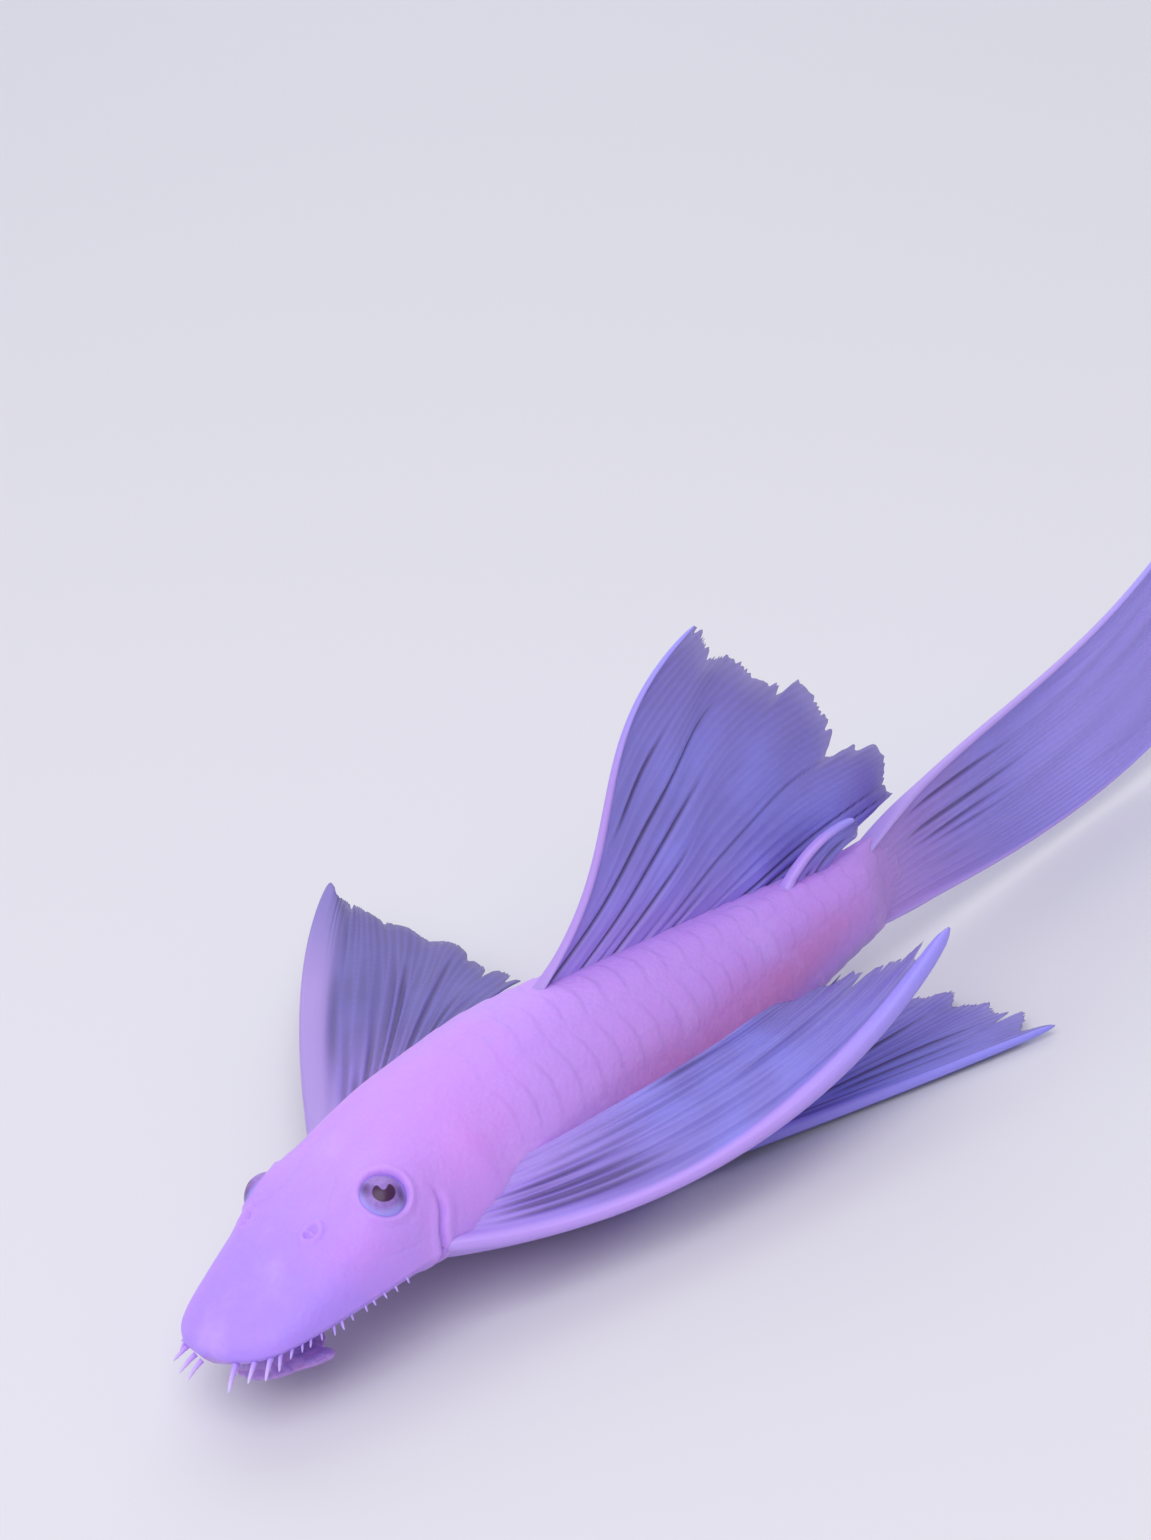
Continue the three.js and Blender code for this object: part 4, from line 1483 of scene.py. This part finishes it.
def fins() -> dict[str, Fin]:
    """Lay out every fin.

    Returns:
        The fins, by the node that each stands for.
    """
    return {
        "dorsal_fin": Fin("dorsal", [
            on_body((35.6, 0, 14.5), (47, 0, 14.2), (56.5, 0, 12.8)),
            in_row((48.0, 0.6, 22.9), (57.4, 1.5, 18.4), (67.0, 2.7, 11.7)),
            in_row((54.0, 1.4, 31.8), (64.4, 2.6, 25.0), (77.4, 4.5, 11.8)),
            in_row((64.4, 2.2, 38.6), (68.6, 2.8, 34.6), (78.0, 4.2, 25.2), (87.2, 5.8, 12.9)),
        ], 8, [Spine(0, 0.42, 0.2, broad=0.6)], creases=(
            Crease(-0.145, 0.45, 0.82), Crease(-0.01, 0.06, 0.92), Crease(0.13, 0.05, 0.7, 0.9),
            Crease(0.21, 0.04, 0.3, 0.5), Crease(0.28, 0.05, 0.52, 0.85), Crease(0.40, 0.05, 0.34, 0.5),
            Crease(0.48, 0.15, 0.97, 0.6), Crease(0.54, 0.05, 0.45, 0.6), Crease(0.68, 0.1, 0.6, 0.35),
            Crease(0.80, 0.25, 1.0, 0.9), Crease(0.89, 0.1, 1.0, 0.95), Crease(-0.3, 0.75, 1.0, 0.3),
            Crease(0.95, 0.3, 0.9, 0.4),
        ), cuts=((0.785, 0.03, 0.12), (0.97, 0.05, 0.07)), fan=0.45, seed=5),
        "caudal_fin": Fin("caudal", [
            on_body((76.6, 0, 11.5), (76.6, 0, 8.2), (76.6, 0, 4.8)),
            in_row((94.0, 3.2, 14.9), (91.0, 3.0, 8.8), (93.5, 2.7, 2.6)),
            in_row((113.0, 5.0, 17.4), (108.5, 4.7, 10.8), (112.0, 4.3, 2.4)),
            in_row((133, 6.0, 26.5), (127, 5.4, 19.5), (123, 5.0, 13), (129, 5.2, 7.0)),
        ], 12, [Spine(0, 0.5, 0.2, 0.6, 0.6), Spine(1, 0.5, 0.2, 0.6, 0.6)], creases=(
            Crease(0.07, 0.12, 0.5, 0.9), Crease(0.18, 0.1, 0.3, 0.45), Crease(0.287, 0.12, 0.55, 0.9),
            Crease(0.35, 0.1, 0.35, 0.4), Crease(0.41, 0.16, 0.52, 0.75), Crease(0.49, 0.22, 0.5, 0.65),
            Crease(0.60, 0.12, 0.34, 0.3), Crease(0.70, 0.15, 0.45, 0.45), Crease(0.79, 0.28, 0.46, 0.45),
            Crease(0.72, 0.58, 0.8, 0.4), Crease(0.76, 0.62, 0.86, 0.35), Crease(-0.1, 0.45, 0.8, 0.3),
        ), fan=0.4, columns=16, fleshy=0.6, seed=6),
        "anal_fin": Fin("anal", [
            on_body((54, 0, 3.4), (58.5, 0, 4.2)),
            in_row((62, 0.6, 0.9), (65.5, 0.8, 1.6)),
            in_row((69.5, 0.8, 0.7), (72.0, 1.0, 2.2)),
        ], 4, [Spine(0, 0.45, 0.25)], ripple=0.05, ragged=0.04, seed=7),
        "pectoral_fin_left": Fin("pectoral_left", [
            in_row((22.8, -8.4, 7.4), (25.2, -7.4, 8.8), (28.0, -7.2, 10.0)),
            in_row((46.4, -16.0, 6.4), (45.4, -12.4, 9.0), (45.0, -9.8, 11.2)),
            in_row((71.2, -14.6, 12.2), (70.0, -10.6, 9.4), (66.5, -7.4, 8.4), (58, -7.4, 9.4)),
        ], 7, [Spine(0, 0.75, 0.6, broad=0.7, spread=0.7)], creases=(
            Crease(0.50, 0.04, 0.40, 0.9), Crease(0.43, 0.04, 0.30, 0.6), Crease(0.36, 0.04, 0.42),
            Crease(0.275, 0.04, 0.46), Crease(0.19, 0.05, 0.45, 0.85), Crease(0.60, 0.08, 0.5, 0.5),
            Crease(0.72, 0.1, 0.6, 0.45), Crease(0.84, 0.12, 0.7, 0.4), Crease(0.55, 0.55, 0.9, 0.45),
            Crease(0.66, 0.6, 0.95, 0.4), Crease(0.95, 0.4, 0.72, 0.7), Crease(0.40, 0.7, 1.0, 0.3),
        ), seed=8),
        "pectoral_fin_right": Fin("pectoral_right", [
            on_body((22.6, 7.6, 6.6), (25.0, 7.4, 7.2), (27.6, 7.2, 7.8)),
            in_row((37.0, 31.8, 6.6), (42.5, 25.5, 5.8), (41.5, 17.0, 6.4)),
            in_row((51.4, 48.0, 7.2), (50.5, 40.5, 6.6), (53.0, 31.5, 5.2), (52.5, 21.0, 5.0)),
        ], 7, [Spine(0, 0.62, 0.45, broad=2.0, spread=1.2)], seed=9),
        "pelvic_fin_left": Fin("pelvic_left", [
            on_body((37.2, -5.6, 1.5), (38.6, -4.6, 1.3), (40, -3.4, 1.2)),
            in_row((57.4, -12.4, 1.1), (57.8, -8.6, 0.7), (55, -5.2, 0.4)),
            in_row((77.4, -18.6, 0.9), (76.8, -12.4, 1.6), (75, -6.5, 1.2), (66, -3.6, 0.5)),
        ], 6, [Spine(0, 0.6, 0.3, broad=0.8)], creases=(
            Crease(0.57, 0.4, 0.98), Crease(0.935, 0.45, 0.98, 0.85), Crease(0.325, 0.35, 0.95, 0.7),
            Crease(1.08, 0.6, 0.97, 0.7), Crease(0.72, 0.35, 0.95, 0.55), Crease(0.45, 0.5, 0.98, 0.75),
            Crease(0.83, 0.3, 0.8, 0.5), Crease(0.2, 0.3, 0.8, 0.5), Crease(0.64, 0.3, 0.7, 0.5),
        ), fan=-0.45, ripple=0.1, fleshy=0.3, seed=10),
        "pelvic_fin_right": Fin("pelvic_right", [
            on_body((37.2, 5.6, 1.0), (38.6, 4.6, 1.1), (40, 3.4, 1.1)),
            in_row((56.0, 14.0, 0.8), (57.0, 9.5, 0.6), (55.5, 5.2, 0.4)),
            in_row((73.0, 23.5, 0.8), (74.0, 16.5, 0.9), (72.5, 9.5, 0.8), (66, 4.6, 0.5)),
        ], 6, [Spine(0, 0.8, 0.35)], fan=-0.3, ripple=0.1, fleshy=0.3, seed=11),
        "adipose_fin": Fin("adipose", [
            on_body((66.6, -0.2, 12.4), (68.8, -0.2, 12.0), (71.5, -0.2, 11.6)),
            in_row((70.8, 0.4, 15.4), (72.0, 0.4, 14.5), (73.2, 0.6, 13.4)),
            in_row((75.6, 0.2, 16.0), (76.0, 0.3, 15.1), (75.9, 0.6, 13.9)),
        ], 2, [Spine(0, 0.5, 0.28)], ragged=0.0, ripple=0.03, tears=0.0, fleshy=0.2, seed=12),
    }


# Studio


@dataclass(frozen=True)
class Lamp:
    """A soft area light, in metres and watts, aimed at the fish."""

    name: str
    place: Triple
    size: float
    power: float
    colour: Triple

    def build(self) -> None:
        """Add the light."""
        data = bpy.data.lights.new(self.name, "AREA")
        data.size = self.size
        data.energy = self.power
        data.color = self.colour
        lamp = bpy.data.objects.new(self.name, data)
        lamp.location = self.place
        toward = Vector((0.01, 0, 0)) - Vector(self.place)
        lamp.rotation_euler = toward.to_track_quat("-Z", "Y").to_euler()
        bpy.context.scene.collection.objects.link(lamp)


@dataclass
class Studio:
    """Camera in millimetres and degrees, floor and world in metres, and lights."""

    target: Triple = (37.966, 43.288, 8.0)
    azimuth: float = -34.0
    elevation: float = 26.0
    roll: float = -12.3
    distance: float = 290.87
    lens: float = 70.13
    floor: float = 3.0
    sky: Triple = (0.80, 0.80, 0.86)
    glow: float = 0.46
    lamps: tuple[Lamp, ...] = (
        Lamp("key", (-0.25, -0.28, 0.62), 0.7, 3.7, (1.0, 0.97, 1.0)),
        Lamp("rim", (0.35, 0.45, 0.50), 0.9, 2.4, (0.90, 0.92, 1.0)),
        Lamp("fill", (-0.55, 0.25, 0.30), 0.6, 1.1, (1.0, 0.94, 1.0)),
    )

    def camera(self) -> None:
        """Set the camera at the photograph's viewing angle."""
        az, el, roll = (math.radians(a) for a in (self.azimuth, self.elevation, self.roll))
        back = Vector((math.sin(az) * math.cos(el), -math.cos(az) * math.cos(el), math.sin(el)))
        right = (-back).cross(Vector((0, 0, 1))).normalized()
        up = right.cross(-back)
        tilted = math.cos(roll) * right + math.sin(roll) * up
        upright = -math.sin(roll) * right + math.cos(roll) * up
        data = bpy.data.cameras.new("camera")
        data.lens = self.lens
        data.sensor_width = 36.0
        data.clip_start = 0.01
        data.clip_end = 20.0
        camera = bpy.data.objects.new("camera", data)
        turn = Matrix((tilted, upright, back)).transposed().to_4x4()
        place = (Vector(self.target) + back * self.distance) * MM
        camera.matrix_world = Matrix.Translation(place) @ turn
        bpy.context.scene.collection.objects.link(camera)
        bpy.context.scene.camera = camera

    def build(self) -> None:
        """Make the floor, the lights and the world."""
        mesh = bpy.data.meshes.new("floor")
        s = self.floor
        mesh.from_pydata([(-s, -s, 0), (s, -s, 0), (s, s, 0), (-s, s, 0)], [], [(0, 1, 2, 3)])
        floor = bpy.data.objects.new("floor", mesh)
        floor.data.materials.append(FloorFinish().material())
        bpy.context.scene.collection.objects.link(floor)
        for lamp in self.lamps:
            lamp.build()
        world = bpy.data.worlds.new("studio")
        world.use_nodes = True
        background = world.node_tree.nodes["Background"]
        background.inputs[0].default_value = (*self.sky, 1.0)
        background.inputs[1].default_value = self.glow
        bpy.context.scene.world = world


def dress(piece: bpy.types.Object, material: bpy.types.Material, slot: Slot, nodes: tuple) -> None:
    """Give a piece its finish and body, and hide the model's parts that it stands for.

    Args:
        piece: The piece.
        material: Its finish.
        slot: The record's slot; not used.
        nodes: Nodes that it stands for.
    """
    piece.data.materials.append(material)
    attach(piece, "root")
    if nodes:
        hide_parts(*nodes)
    log.info("%s: %d faces", piece.name, len(piece.data.polygons))


def main() -> None:
    """Build the studio and the fish."""
    logging.basicConfig(level=logging.INFO, format="%(message)s")
    bpy.context.scene.view_settings.view_transform = "Standard"
    studio = Studio()
    studio.camera()
    studio.build()
    skin = Skin()
    skin_material = SkinFinish().material()
    dress(skin.build(), skin_material, Slot.SKIN, ("head", "trunk", "tail_stem"))
    dress(Bristles().build(), skin_material, Slot.SKIN, ())
    dress(Mouth().build(), LipFinish().material(), Slot.LIP, ("mouth",))
    eye_material = EyeFinish().material()
    for eye in skin.eyes:
        dress(eye.build(), eye_material, Slot.EYE, (f"eye_{eye.side.name.lower()}",))
    plain = FinFinish("milky_fin").material()
    special = {node: finish.material() for node, finish in fin_finishes().items()}
    for node, fin in fins().items():
        dress(fin.build(), special.get(node, plain), Slot.FIN, (node,))


if __name__ == "__main__":
    main()
